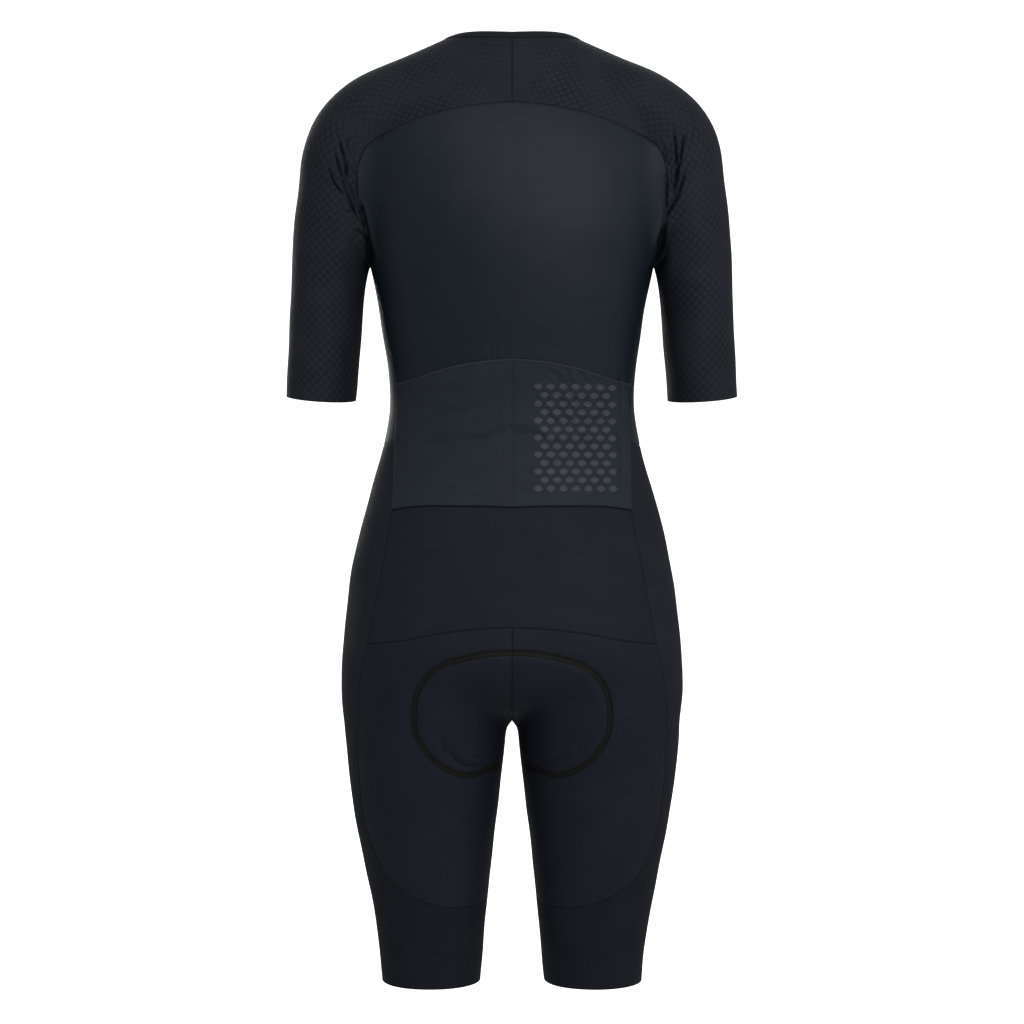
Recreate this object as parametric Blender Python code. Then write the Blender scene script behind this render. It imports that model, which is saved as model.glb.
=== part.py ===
"""A short-sleeved, knee-length one-piece cycling roadsuit, filled out as if worn, as thin cloth panels.

Sizes are in millimetres and are turned into metres when a mesh is made.
+Z is up, -Y is the wearer's front, +X the wearer's left. The origin is the middle of the neck opening at the
height of its back seam, where the wearer's neck and shoulders carry the suit.
"""

import math

import bmesh
import bpy
import numpy as np
from mathutils import Matrix, Vector

MM = 0.001

# ------------------------------------------------------------ the front zip's slider and its pull tab
SLIDER_DOWN = 9.0  # from the top of the front panels to the slider's middle
SLIDER_WIDTH = 8.0
SLIDER_LENGTH = 12.0
SLIDER_THICK = 2.2
SLIDER_CLEAR = 0.5  # above the chain
BRIDGE_WIDTH = 3.0
BRIDGE_WALL = 1.1
PIN_DOWN = 0.5  # the hinge's place on the slider: below its middle, and out from the chain
PIN_OUT = 4.1
PIN_HOLE = 1.15
PIN_THICK = 1.4  # of the bar, and of the whole tab
TAB_WIDTH = 7.2
TAB_LENGTH = 26.0
WINDOW_WIDTH = 4.0
WINDOW_LENGTH = 5.0
SLIDER_CORNER = 1.6
BRIDGE_CORNER = 0.5
BRIDGE_SINK = 0.4
TAB_CORNER = 1.2
HOLE_SIDES = 16

# ------------------------------------------------------------ the general figure that the cloth is cut for
# Half width and reach to the back and front of the body, for each height. "middle" is the y of the widest
# place, "power" is how square the section is (2 is an ellipse).
BODY_COLUMNS = ("z", "half_width", "back", "front", "middle", "power")
BODY = (
    (20, 44, 27, -22, -4, 2.0),
    (2, 66, 40, -33, -4, 2.0),
    (-18, 95, 52, -43, -5, 2.0),
    (-45, 126, 65, -55, -5, 2.1),
    (-80, 146, 78, -72, -6, 2.2),
    (-130, 150, 89, -98, -8, 2.3),
    (-180, 145, 93, -116, -9, 2.3),
    (-230, 134, 89, -119, -9, 2.3),
    (-290, 124, 78, -110, -10, 2.3),
    (-350, 119, 70, -103, -10, 2.2),
    (-410, 131, 76, -103, -8, 2.2),
    (-470, 147, 93, -106, -4, 2.3),
    (-530, 158, 109, -106, 0, 2.3),
    (-590, 161, 118, -101, 3, 2.3),
    (-650, 159.5, 114, -95, 4, 2.3),
    (-710, 158, 110, -92, 4, 2.3),
)
LEG_COLUMNS = ("z", "centre", "half_width", "back", "front")
LEG = (
    (-520, 66, 74, 92, -84),
    (-580, 78, 80, 103, -90),
    (-640, 83, 79.4, 96, -92),
    (-700, 84, 74.7, 84, -88),
    (-745, 83.6, 68.7, 77, -81),
    (-790, 81.6, 62, 70, -73),
    (-835, 79.6, 55, 63, -65),
    (-880, 78.4, 49.6, 58, -59),
    (-925, 78.2, 46, 55, -55),
)
# The sleeve's middle line runs from beside the neck over the shoulder and down the arm.
ARM_COLUMNS = ("x", "y", "z", "half_width", "half_depth")
ARM = (
    (-6, -3, -13, 40, 37),
    (37, -3, -31, 45, 46),
    (90, -3, -55, 46, 52),
    (135, -3, -75, 44.6, 54),
    (155, -4, -98, 44.8, 54),
    (164, -7, -134, 43, 54),
    (171.3, -11, -177, 41, 52.5),
    (178.8, -16, -225, 36.5, 50),
    (182.3, -21, -272, 35.2, 48),
    (185.5, -26, -318, 34.3, 46.5),
    (188, -30, -352, 33.8, 45.5),
    (191, -35, -400, 33.5, 45),
)
CROTCH_Z = -652
CROTCH_Y = 2.0
CROTCH_RADIUS = 150.0  # of the curve that the centre seam follows between the legs
ARM_BLEND = 7.0
LEG_BLEND = 14.0
CROTCH_BLEND = 34.0
WAIST_Z = -430.0  # arms lie above it and legs below
BODY_Y = -8.0  # the body's upright axis, from which its panels are laid out
# How the surface is found: rounds, and the share of the stated distance that each round moves.
CAST_ROUNDS = 45
CAST_SHARE = 0.85
PULL_ROUNDS = 6
PULL_SHARE = 0.9
SLOPE_STEP = 0.4


def spline(at, values):
    """A natural cubic spline through (at, values), as a function. Past its ends it goes on straight."""
    at, values = np.asarray(at, float), np.asarray(values, float)
    if at[0] > at[-1]:
        at, values = at[::-1], values[::-1]
    values = values.reshape(len(at), -1)
    gap = np.diff(at)
    slope = np.diff(values, axis=0) / gap[:, None]
    rows = np.eye(len(at))
    right = np.zeros_like(values)
    for i in range(1, len(at) - 1):
        rows[i, i - 1 : i + 2] = gap[i - 1], 2 * (gap[i - 1] + gap[i]), gap[i]
        right[i] = 6 * (slope[i] - slope[i - 1])
    bend = np.linalg.solve(rows, right)

    def read(x):
        x = np.asarray(x, float)
        flat = x.reshape(-1)
        i = np.clip(np.searchsorted(at, flat) - 1, 0, len(gap) - 1)
        inside = np.clip(flat, at[0], at[-1])
        h = gap[i][:, None]
        b = ((inside - at[i]) / gap[i])[:, None]
        a = 1 - b
        y = a * values[i] + b * values[i + 1] + ((a**3 - a) * bend[i] + (b**3 - b) * bend[i + 1]) * h * h / 6
        end = slope[i] + h * ((1 - 3 * a * a) * bend[i] + (3 * b * b - 1) * bend[i + 1]) / 6
        y = y + end * (flat - inside)[:, None]
        return y.reshape(x.shape + values.shape[1:]) if values.shape[1] > 1 else y.reshape(x.shape)

    return read


def run_of(line):
    """The distance along a line at each of its points."""
    return np.concatenate([[0], np.cumsum(np.linalg.norm(np.diff(line, axis=0), axis=1))])


def columns(table, names):
    return dict(zip(names, np.array(table, float).T))


body_table = columns(BODY, BODY_COLUMNS)
leg_table = columns(LEG, LEG_COLUMNS)
arm_table = columns(ARM, ARM_COLUMNS)
body_at = spline(body_table["z"], np.stack([body_table[n] for n in BODY_COLUMNS[1:]], axis=1))
leg_at = spline(leg_table["z"], np.stack([leg_table[n] for n in LEG_COLUMNS[1:]], axis=1))


ARM_STEP = 4.0


def arm_line():
    """Points one step apart along the arm's middle line, with its direction and half sizes there."""
    knots = np.stack([arm_table[n] for n in ARM_COLUMNS], axis=1)
    along = run_of(knots[:, :3])
    line = spline(along, knots)(np.arange(0, along[-1], ARM_STEP))
    direction = np.gradient(line[:, :3], axis=0)
    return line, direction / np.linalg.norm(direction, axis=1)[:, None]


ARM_LINE, ARM_DIRECTION = arm_line()


def smooth_min(a, b, blend):
    h = np.clip(0.5 + 0.5 * (b - a) / blend, 0, 1)
    return b + (a - b) * h - blend * h * (1 - h)


def section(across, deep, half_width, back, front, power):
    """How far a point is outside a rounded section, measured towards its middle."""
    reach = np.where(deep > 0, back, front)
    across = np.abs(across) + 1e-4  # off the very middle, where the share below has no value
    q = ((across / half_width) ** power + np.abs(deep / reach) ** power) ** (1 / power)
    return np.hypot(across, deep) * (1 - 1 / q)


def body_form(p):
    half, back, front, middle, power = np.moveaxis(body_at(p[:, 2]), -1, 0)
    return section(p[:, 0], p[:, 1] - middle, half, back - middle, middle - front, power)


def arm_form(p):
    x = np.abs(p[:, 0])
    q = np.stack([x, p[:, 1], p[:, 2]], axis=1)
    away = q[:, None, :] - ARM_LINE[None, :, :3]
    nearest = np.einsum("ijk,ijk->ij", away, away).argmin(1)
    beyond = np.einsum("ik,ik->i", away[np.arange(len(q)), nearest], ARM_DIRECTION[nearest])
    at = np.clip(nearest + np.clip(beyond / ARM_STEP, -1, 1), 0, len(ARM_LINE) - 1)
    low = np.minimum(at.astype(int), len(ARM_LINE) - 2)
    share = (at - low)[:, None]
    row = ARM_LINE[low] * (1 - share) + ARM_LINE[low + 1] * share
    direction = ARM_DIRECTION[low] * (1 - share) + ARM_DIRECTION[low + 1] * share
    off = q - row[:, :3]
    beyond = np.einsum("ij,ij->i", off, direction)
    off = off - beyond[:, None] * direction
    deep_axis = np.array([0.0, 1.0, 0.0]) - direction[:, 1:2] * direction
    deep_axis /= np.linalg.norm(deep_axis, axis=1)[:, None]
    deep = np.einsum("ij,ij->i", off, deep_axis)
    across = np.linalg.norm(off - deep[:, None] * deep_axis, axis=1)
    past = np.where((at <= 0) | (at >= len(ARM_LINE) - 1), np.abs(beyond), 0)
    return section(across, deep, row[:, 3], row[:, 4], row[:, 4], 2.0) + past


def leg_form(p):
    centre, half, back, front = np.moveaxis(leg_at(p[:, 2]), -1, 0)
    middle = (back + front) / 2
    return section(np.abs(p[:, 0]) - centre, p[:, 1] - middle, half, back - middle, middle - front, 2.1)


def figure(p):
    """Below zero inside the figure. The body ends between the legs in a curved floor."""
    floor = CROTCH_Z + (p[:, 1] - CROTCH_Y) ** 2 / (2 * CROTCH_RADIUS) - p[:, 2]
    out = -smooth_min(-body_form(p), -floor, CROTCH_BLEND)
    high = p[:, 2] > WAIST_Z
    out[high] = smooth_min(out[high], arm_form(p[high]), ARM_BLEND)
    out[~high] = smooth_min(out[~high], leg_form(p[~high]), LEG_BLEND)
    return out


def cast(start, direction):
    """Where the lines from start, inside the figure, leave it: each goes as far as the form says is left."""
    start, direction = np.asarray(start, float), np.asarray(direction, float)
    t = np.zeros(len(start))
    for _ in range(CAST_ROUNDS):
        t -= CAST_SHARE * figure(start + t[:, None] * direction)
    return start + t[:, None] * direction


def normals(p):
    """The direction out of the figure at each point of its surface."""
    out = np.stack([figure(p + step) - figure(p - step) for step in SLOPE_STEP * np.eye(3)], axis=1)
    return out / np.linalg.norm(out, axis=1)[:, None]


def pull(p):
    """Points near the figure's surface, moved onto it."""
    for _ in range(PULL_ROUNDS):
        p = p - PULL_SHARE * figure(p)[:, None] * normals(p)
    return p


# ------------------------------------------------------------ flat maps of the figure, to lay panels out in
TURN = math.pi / 180


def shot(rows, y=BODY_Y):
    """Points of the figure from rows of x, z and turn. A line starts at depth y and leaves by the back at a
    turn of 90, straight down at 0 and by the front at -90."""
    x, z, turn = np.array(rows, float).T
    direction = np.stack([np.zeros_like(x), np.sin(turn * TURN), -np.cos(turn * TURN)], axis=1)
    return cast(np.stack([x, np.full_like(x, y), z], axis=1), direction)


def around(centre, angle, z):
    """Points of the figure at an angle round an upright axis; 0 is the wearer's left and 90 the back."""
    start = np.stack([centre[..., 0], centre[..., 1], z], axis=-1)
    direction = np.stack([np.cos(angle * TURN), np.sin(angle * TURN), np.zeros_like(z)], axis=-1)
    return cast(start.reshape(-1, 3), direction.reshape(-1, 3)).reshape(*z.shape, 3)


class Upright:
    """Angle and height round an upright line whose x changes with height. 0 is the left, 90 the back."""

    angle_column = 0

    def __init__(self, rows, y):
        self.x_at = spline([r[0] for r in rows], [r[1] for r in rows])
        self.y = y

    def centre(self, z):
        return np.stack([self.x_at(z), np.full(np.shape(z), self.y)], axis=-1)

    def flat(self, p, cut=-180):
        """The map of points, with angles from the cut to a full turn past it."""
        centre = self.centre(p[..., 2])
        angle = np.arctan2(p[..., 1] - centre[..., 1], p[..., 0] - centre[..., 0]) / TURN
        return np.stack([(angle - cut) % 360 + cut, p[..., 2]], axis=-1)

    def round(self, flat):
        return around(self.centre(flat[..., 1]), flat[..., 0], flat[..., 1])


class Along:
    """Distance along the arm's line, and angle round it: 0 is up and out, 90 the back."""

    angle_column = 1

    def frame(self, s):
        at = np.clip(s / ARM_STEP, 0, len(ARM_LINE) - 1.001)
        low = at.astype(int)
        share = (at - low)[..., None]
        row = ARM_LINE[low] * (1 - share) + ARM_LINE[low + 1] * share
        direction = ARM_DIRECTION[low] * (1 - share) + ARM_DIRECTION[low + 1] * share
        direction /= np.linalg.norm(direction, axis=-1)[..., None]
        back = np.array([0.0, 1.0, 0.0]) - direction[..., 1:2] * direction
        back /= np.linalg.norm(back, axis=-1)[..., None]
        return row[..., :3], direction, back, np.cross(direction, back)

    def flat(self, p, cut=-180):
        s = ARM_STEP * np.linalg.norm(p[..., None, :] - ARM_LINE[:, :3], axis=-1).argmin(-1).astype(float)
        for _ in range(12):
            start, direction, back, up = self.frame(s)
            s = s + 0.6 * ((p - start) * direction).sum(-1)
        angle = np.arctan2(((p - start) * back).sum(-1), ((p - start) * up).sum(-1)) / TURN
        return np.stack([s, (angle - cut) % 360 + cut], axis=-1)

    def round(self, flat):
        start, direction, back, up = self.frame(flat[..., 0])
        angle = flat[..., 1:] * TURN
        line = np.cos(angle) * up + np.sin(angle) * back
        return cast(start.reshape(-1, 3), line.reshape(-1, 3)).reshape(start.shape)


LEG_MIDDLE = ((-380, 56), (-460, 62), (-560, 74), (-640, 83), (-700, 84), (-790, 81.6), (-920, 78.3))
BODY_MAP = Upright(((0, 0), (-900, 0)), BODY_Y)
LEG_MAP = Upright(LEG_MIDDLE, 0)
ARM_MAP = Along()

# ------------------------------------------------------------ the seams, on the wearer's left
# Each seam is drawn through points of the figure. x, z and turn are as in shot.
YOKE_ARCH = (
    (0, -66, 90),
    (35, -69, 90),
    (67, -75, 90),
    (90, -81, 90),
    (112, -89, 90),
    (131, -98, 90),
    (141, -108, 90),
    (146, -122, 90),
    (147.5, -142, 90),
    (145.5, -166, 90),
    (141.5, -186, 90),
    (139, -198, 70),
    (138, -200, 35),
    (138, -200, 0),
)
FRONT_RAGLAN = (
    (138, -200, 0),
    (138, -200, -35),
    (138.5, -198, -70),
    (138, -176, -90),
    (134, -146, -90),
    (124, -112, -90),
    (104, -78, -90),
    (78, -48, -90),
)
NECK_COLUMNS = ("angle", "z")
NECK = ((90, -0.5), (60, 1), (30, 3.5), (0, 5), (-30, 0), (-50, -11), (-70, -23), (-90, -31))
NECK_POINTS = 14
RAGLAN_ANGLE = -50.0
ZIP_ANGLE = -86.0  # where the neck's edge meets the front panel's edge along the zip
NECK_Y = -3.0
YOKE_Z = (-44, -22)  # the yoke's middle seam passes here between the arch and the neck
NECKBAND_RISE = 8.5
NECKBAND_WALL = 1.6
ZIP_GAP = 3.5  # half the space between the front panels
ZIP_WALL = 1.4
SIDE_ANGLE = -6.0
WAIST_SIDE_Z = -387.0
WAIST_FRONT_Z = -402.0
WAIST_FRONT_ANGLE = -88.0
WAIST_DIP = 1.5  # how late the waist seam drops from the side to the front: 1 is evenly
POCKET_TOP = ((112, -329), (90, -324.7), (66, -317.4), (40, -312), (16, -309.2), (0, -308.3))
POCKET_SIDE = ((112.5, -384), (112.7, -418), (113, -450.5))
WAIST_BACK = ((113, -450.5), (90, -447), (60, -446.3), (30, -446.6), (0, -447.6))
SEAT_TOP = ((135.8, -575.6), (108, -572.5), (76.5, -566.4), (43, -561.5), (15, -559.2), (0, -558.8))
HIP_SIDE = ((113, -450.5), (117, -473.5), (120.7, -495), (126, -522), (131.5, -551), (135.8, -575.6))
SEAT_SIDE = (
    (135.8, -575.6),
    (140.5, -595),
    (144.7, -621),
    (146, -656),
    (144.9, -706),
    (140.1, -744.5),
    (130, -776.5),
    (117.8, -797),
)
SEAT_HEM = ((117.8, -797), (103.7, -809), (85, -819.5), (63.3, -825.5), (45, -827), (30, -825.5))
# Where the centre seam goes under the body: rows of y and z to cast straight down from.
UNDER_BACK = ((88, -590), (62, -590), (32, -600))
UNDER_FRONT = ((-74, -590), (-52, -590), (-28, -600))
CENTRE_BACK_Z = (-558.8, -580, -600)
CENTRE_FRONT_Z = (WAIST_FRONT_Z, -450, -500, -550, -585)
BAND_Z = -823.0  # where the seat's lower seam meets the inner leg
BAND_DIP = 30.0  # how much lower the first whole ring of the leg lies behind, outside and in front
HEM_Z = -904.5
INSEAM_Z = (-668, -700, -745, -790, BAND_Z)
LOW_INSEAM_Z = (BAND_Z, -864, HEM_Z)
CUFF_LENGTH = 431.0  # along the arm's line

# How many steps each seam has at a detail of 1. Opposite edges of a panel have the same number.
ARCH_STEPS = 14
YOKE_STEPS = 3
NECK_BACK_STEPS = 13
NECK_FRONT_STEPS = 3
UNDERARM_STEPS = 6
SIDE_TOP_STEPS = 9  # from the armpit down to the level of the pocket's top
SIDE_LOW_STEPS = 3
WAIST_SIDE_STEPS = 4
POCKET_SIDE_STEPS = 3
WAIST_BACK_STEPS = ARCH_STEPS - WAIST_SIDE_STEPS - POCKET_SIDE_STEPS
HIP_STEPS = 5
CROTCH_BACK_STEPS = 5
INSEAM_STEPS = 5
BAND_STEPS = 3
SEAM_POINTS = 120  # at least this many points are drawn along a seam before it is cut into equal steps


def lined(anchors, count):
    """A seam of equal steps, on the figure, through its anchors."""
    anchors = np.asarray(anchors, float)
    run = run_of(anchors)
    fine = pull(spline(run, anchors)(np.linspace(0, run[-1], max(SEAM_POINTS, 2 * count))))
    run = run_of(fine)
    at = np.linspace(0, run[-1], count + 1)
    line = pull(np.stack([np.interp(at, run, fine[:, k]) for k in range(3)], axis=1))
    line[0], line[-1] = anchors[0], anchors[-1]
    return line


def back_of(rows):
    return shot([(x, z, 90) for x, z in rows])


def down_from(rows):
    """Points of the figure's underside in its middle plane, straight below rows of y and z."""
    return np.concatenate([shot([(0, z, 0)], y) for y, z in rows])


def joined(*lines):
    """Lines end to end, with each shared end kept once."""
    return np.concatenate([lines[0]] + [line[1:] for line in lines[1:]])


def mapped(chart, anchors, count, rows):
    """A seam of equal steps through rows of the chart, between two points of the figure."""
    middle = chart.round(np.array(rows, float))
    return lined(np.concatenate([anchors[:1], middle, anchors[1:]]), count)


def neck_seams(s, n):
    """The neck's edge, the arch across the back, the raglan seam in front and the yoke's middle seam."""
    z_at = spline(*np.array(NECK, float).T)

    def neck(first, last):
        angle = np.linspace(first, last, NECK_POINTS)
        return around(np.tile((0, NECK_Y), (NECK_POINTS, 1)), angle, z_at(angle))

    arch = shot(YOKE_ARCH)
    neck_back, neck_front = neck(90, RAGLAN_ANGLE), neck(RAGLAN_ANGLE, ZIP_ANGLE)
    neck_front[-1] = shot([(ZIP_GAP, float(z_at(ZIP_ANGLE)), -90)])[0]
    s["arch"] = lined(arch, ARCH_STEPS * n)
    s["raglan"] = lined(np.concatenate([shot(FRONT_RAGLAN), neck_front[:1]])[::-1], ARCH_STEPS * n)
    s["neck_back"] = lined(neck_back, NECK_BACK_STEPS * n)
    s["neck_front"] = lined(neck_front, NECK_FRONT_STEPS * n)
    yoke = np.concatenate([arch[:1], shot([(0, z, 90) for z in YOKE_Z]), neck_back[:1]])
    s["yoke"] = lined(yoke, YOKE_STEPS * n)


def side_seams(s, n):
    """The side seam, the waist seam behind it, and the pocket panel's sides and top."""
    armpit = s["arch"][-1]
    corner = np.array([SIDE_ANGLE, WAIST_SIDE_Z])
    side_low = BODY_MAP.round(corner[None])[0]
    t = np.linspace(0, 1, 12)[1:-1, None]
    rows = BODY_MAP.flat(armpit) * (1 - t) + corner * t
    side = mapped(BODY_MAP, np.stack([armpit, side_low]), (SIDE_TOP_STEPS + SIDE_LOW_STEPS) * n, rows)
    s["side"] = side
    pocket_side, pocket_top = back_of(POCKET_SIDE), back_of(POCKET_TOP)
    corner_angle = BODY_MAP.flat(pocket_side[0])[0]
    rows = [(SIDE_ANGLE + (corner_angle - SIDE_ANGLE) * f, WAIST_SIDE_Z) for f in (0.3, 0.6)]
    s["waist_side"] = mapped(BODY_MAP, np.stack([side_low, pocket_side[0]]), WAIST_SIDE_STEPS * n, rows)
    s["pocket_side"] = lined(pocket_side, POCKET_SIDE_STEPS * n)
    s["waist_back"] = lined(back_of(WAIST_BACK), WAIST_BACK_STEPS * n)
    level = side[SIDE_TOP_STEPS * n]
    middle = (BODY_MAP.flat(level) + BODY_MAP.flat(pocket_top[0])) / 2
    s["level_side"] = mapped(BODY_MAP, np.stack([level, pocket_top[0]]), WAIST_SIDE_STEPS * n, [middle])
    s["pocket_top"] = lined(pocket_top, (ARCH_STEPS - WAIST_SIDE_STEPS) * n)


def front_seams(s, n):
    """The waist seam in front, and the front panel's edge along the zip."""
    low = shot([(ZIP_GAP, WAIST_FRONT_Z, -90), (0, WAIST_FRONT_Z, -90)])
    share = np.linspace(0, 1, 11)[1:-1]
    angle = SIDE_ANGLE + (WAIST_FRONT_ANGLE - SIDE_ANGLE) * share
    z = WAIST_SIDE_Z + (WAIST_FRONT_Z - WAIST_SIDE_Z) * share**WAIST_DIP
    ends = np.stack([s["side"][-1], low[0]])
    s["waist_front"] = mapped(BODY_MAP, ends, (NECK_FRONT_STEPS + ARCH_STEPS) * n, np.stack([angle, z], 1))
    s["waist_middle"] = lined(low, n)
    top = s["neck_front"][-1]
    rows = [(ZIP_GAP, z, -90) for z in np.linspace(top[2], WAIST_FRONT_Z, 10)]
    s["zip"] = lined(shot(rows), (SIDE_TOP_STEPS + SIDE_LOW_STEPS) * n)


def leg_seams(s, n):
    """The seams of the seat panel, the centre seam all the way under the body, and the inner leg."""
    crotch = shot([(0, CROTCH_Z + 50, 0)], CROTCH_Y)
    s["hip"] = lined(back_of(HIP_SIDE), HIP_STEPS * n)
    s["seat_top"] = lined(back_of(SEAT_TOP), WAIST_BACK_STEPS * n)
    rise = np.concatenate([back_of([(0, z) for z in CENTRE_BACK_Z]), down_from(UNDER_BACK), crotch])
    s["centre_back"] = lined(rise, CROTCH_BACK_STEPS * n)
    front = shot([(0, z, -90) for z in CENTRE_FRONT_Z])
    steps = POCKET_SIDE_STEPS + HIP_STEPS + CROTCH_BACK_STEPS + WAIST_BACK_STEPS
    s["centre_front"] = lined(np.concatenate([front, down_from(UNDER_FRONT), crotch]), steps * n)
    inner = LEG_MAP.round(np.array([(180.0, z) for z in INSEAM_Z]))
    s["inseam"] = lined(np.concatenate([crotch, inner]), INSEAM_STEPS * n)
    s["band"] = lined(LEG_MAP.round(np.array([(180.0, z) for z in LOW_INSEAM_Z])), BAND_STEPS * n)
    s["seat_side"] = lined(back_of(SEAT_SIDE), (CROTCH_BACK_STEPS + INSEAM_STEPS) * n)
    s["seat_hem"] = lined(np.concatenate([back_of(SEAT_HEM), inner[-1:]]), WAIST_BACK_STEPS * n)


def seams(detail):
    """Every seam of the wearer's left half, as points of the figure."""
    s = {}
    for draw in (neck_seams, side_seams, front_seams, leg_seams):
        draw(s, detail)
    return s


# ------------------------------------------------------------ from the seams to panels
WALL = 1.2
POCKET_WALL = 1.2
GAP = 0.3
SLEEVE_EASE = 12  # rounds of evening out
SEAT_EASE = 6
LEG_EASE = 4
SHARP_ANGLE = 50.0


def coons(first, last, left, right):
    """A grid of map points between four edges: rows from first to last, columns from left to right."""
    u = np.linspace(0, 1, len(first))[None, :, None]
    v = np.linspace(0, 1, len(left))[:, None, None]
    flat = (1 - v) * first[None] + v * last[None] + (1 - u) * left[:, None] + u * right[:, None]
    ends = (1 - v) * ((1 - u) * first[0] + u * first[-1]) + v * ((1 - u) * last[0] + u * last[-1])
    return flat - ends


def laid(chart, row, start, end):
    """A row of points in a map, from one known map point to another, with no jump of a full turn between."""
    flat = chart.flat(row)
    k = chart.angle_column
    flat[:, k] = start[k] + np.concatenate([[0], np.cumsum((np.diff(flat[:, k]) + 180) % 360 - 180)])
    flat[0], flat[-1] = start, end
    return flat


def patch(chart, first, last, left, right, left_cut=-180, right_cut=-180):
    """A grid of points on the figure whose four edges are seams. First and last run from left to right."""
    left_flat, right_flat = chart.flat(left, left_cut), chart.flat(right, right_cut)
    first_flat = laid(chart, first, left_flat[0], right_flat[0])
    last_flat = laid(chart, last, left_flat[-1], right_flat[-1])
    points = chart.round(coons(first_flat, last_flat, left_flat, right_flat))
    points[0], points[-1], points[:, 0], points[:, -1] = first, last, left, right
    return points


def eased(points, detail, rounds):
    """The grid with its inner points evened out between their neighbours, by as much at any detail."""
    coarse = points[::detail, ::detail]
    even = coarse.copy()
    for _ in range(rounds):
        middle = (even[:-2, 1:-1] + even[2:, 1:-1] + even[1:-1, :-2] + even[1:-1, 2:]) / 4
        even[1:-1, 1:-1] = pull(middle.reshape(-1, 3)).reshape(middle.shape)
    shift = even - coarse
    if detail > 1:
        for axis in (0, 1):
            at = np.arange(shift.shape[0]) * detail
            flat = spline(at, shift.reshape(len(at), -1))(np.arange(at[-1] + 1))
            shift = np.swapaxes(flat.reshape(-1, *shift.shape[1:]), 0, 1)
    moved = (points + shift)[1:-1, 1:-1]
    points = points.copy()
    points[1:-1, 1:-1] = pull(moved.reshape(-1, 3)).reshape(moved.shape)
    return points


def mirror(points):
    return points * (-1, 1, 1)


def whole(line):
    """A line that ends on the middle of the body, carried on to its mirror image."""
    return joined(line, mirror(line)[::-1])


def back_panels(s, n):
    """The back panel from side to side, the pocket panel that lies on it, and the panel below."""
    level = whole(joined(s["level_side"], s["pocket_top"]))
    waist = whole(joined(s["waist_side"], s["pocket_side"], s["waist_back"]))
    top = SIDE_TOP_STEPS * n
    left = s["side"]
    right = mirror(left)
    high = patch(BODY_MAP, whole(s["arch"][::-1]), level, left[: top + 1], right[: top + 1], right_cut=0)
    low = patch(BODY_MAP, level, waist, left[top:], right[top:], right_cut=0)
    back = joined(high, low)
    beside = WAIST_SIDE_STEPS * n
    hip = s["hip"]
    lower = patch(BODY_MAP, whole(s["waist_back"]), whole(s["seat_top"]), hip, mirror(hip))
    return {"back_panel": (back, None), "pocket_panel": (back[top:, beside:-beside], None),
            "lower_back": (lower, None)}


def sleeve_panel(s, n):
    """From the neck over the shoulder, closed into a tube below the armpit."""
    armpit, cuff = ARM_MAP.flat(s["arch"][-1:], -90)[0], np.array((CUFF_LENGTH, 180.0))
    t = np.linspace(0, 1, UNDERARM_STEPS * n + 1)[:, None]
    underarm = ARM_MAP.round(armpit * (1 - t) + cuff * t)
    underarm[0] = s["arch"][-1]
    neck = joined(s["yoke"], s["neck_back"])
    ring = ARM_MAP.round(ring_of(len(neck), CUFF_LENGTH)[:, ::-1])
    left, right = joined(s["arch"], underarm), joined(s["raglan"], underarm)
    return eased(patch(ARM_MAP, neck, ring, left, right, -90, -270), n, SLEEVE_EASE), ARCH_STEPS * n


def ring_of(count, level):
    """Map points of a whole turn, from 180 down to -180, at one level."""
    return np.stack([np.linspace(180, -180, count), np.full(count, level)], 1)


def front_panel(s):
    top = joined(s["raglan"][::-1], s["neck_front"])
    return patch(BODY_MAP, top, s["waist_front"], s["side"], s["zip"]), None


def seat_panel(s, n):
    left = joined(s["centre_back"], s["inseam"])
    seat = patch(LEG_MAP, s["seat_top"][::-1], s["seat_hem"][::-1], left, s["seat_side"], -90, -90)
    return eased(seat, n, SEAT_EASE), None


def side_panel(s, n):
    """The leg's side and front, from the waist seam down, closed into a tube below the seat panel."""
    waist = joined(s["waist_side"][::-1], s["waist_front"], s["waist_middle"])
    left = joined(s["pocket_side"], s["hip"], s["seat_side"], s["seat_hem"])
    right = joined(s["centre_front"], s["inseam"])
    knee = ring_of(len(waist), BAND_Z)
    knee[:, 1] -= BAND_DIP * (1 - (knee[:, 0] / 180) ** 2)
    knee, hem = LEG_MAP.round(knee), LEG_MAP.round(ring_of(len(waist), HEM_Z))
    leg = eased(patch(LEG_MAP, waist, knee, left, right, -90, -270), n, LEG_EASE)
    band = patch(LEG_MAP, knee, hem, s["band"], s["band"], -90, -270)
    return joined(leg, band), len(leg) - 1


def panels(detail):
    """Name, grid of points and first row from which the panel closes into a tube, for each panel."""
    s = seams(detail)
    found = back_panels(s, detail)
    one_side = {
        "sleeve": sleeve_panel(s, detail),
        "front": front_panel(s),
        "seat": seat_panel(s, detail),
        "side": side_panel(s, detail),
    }
    for name, (points, closes) in one_side.items():
        found[name + "_left"] = points, closes
        found[name + "_right"] = mirror(points), closes
    return found, s


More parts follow.
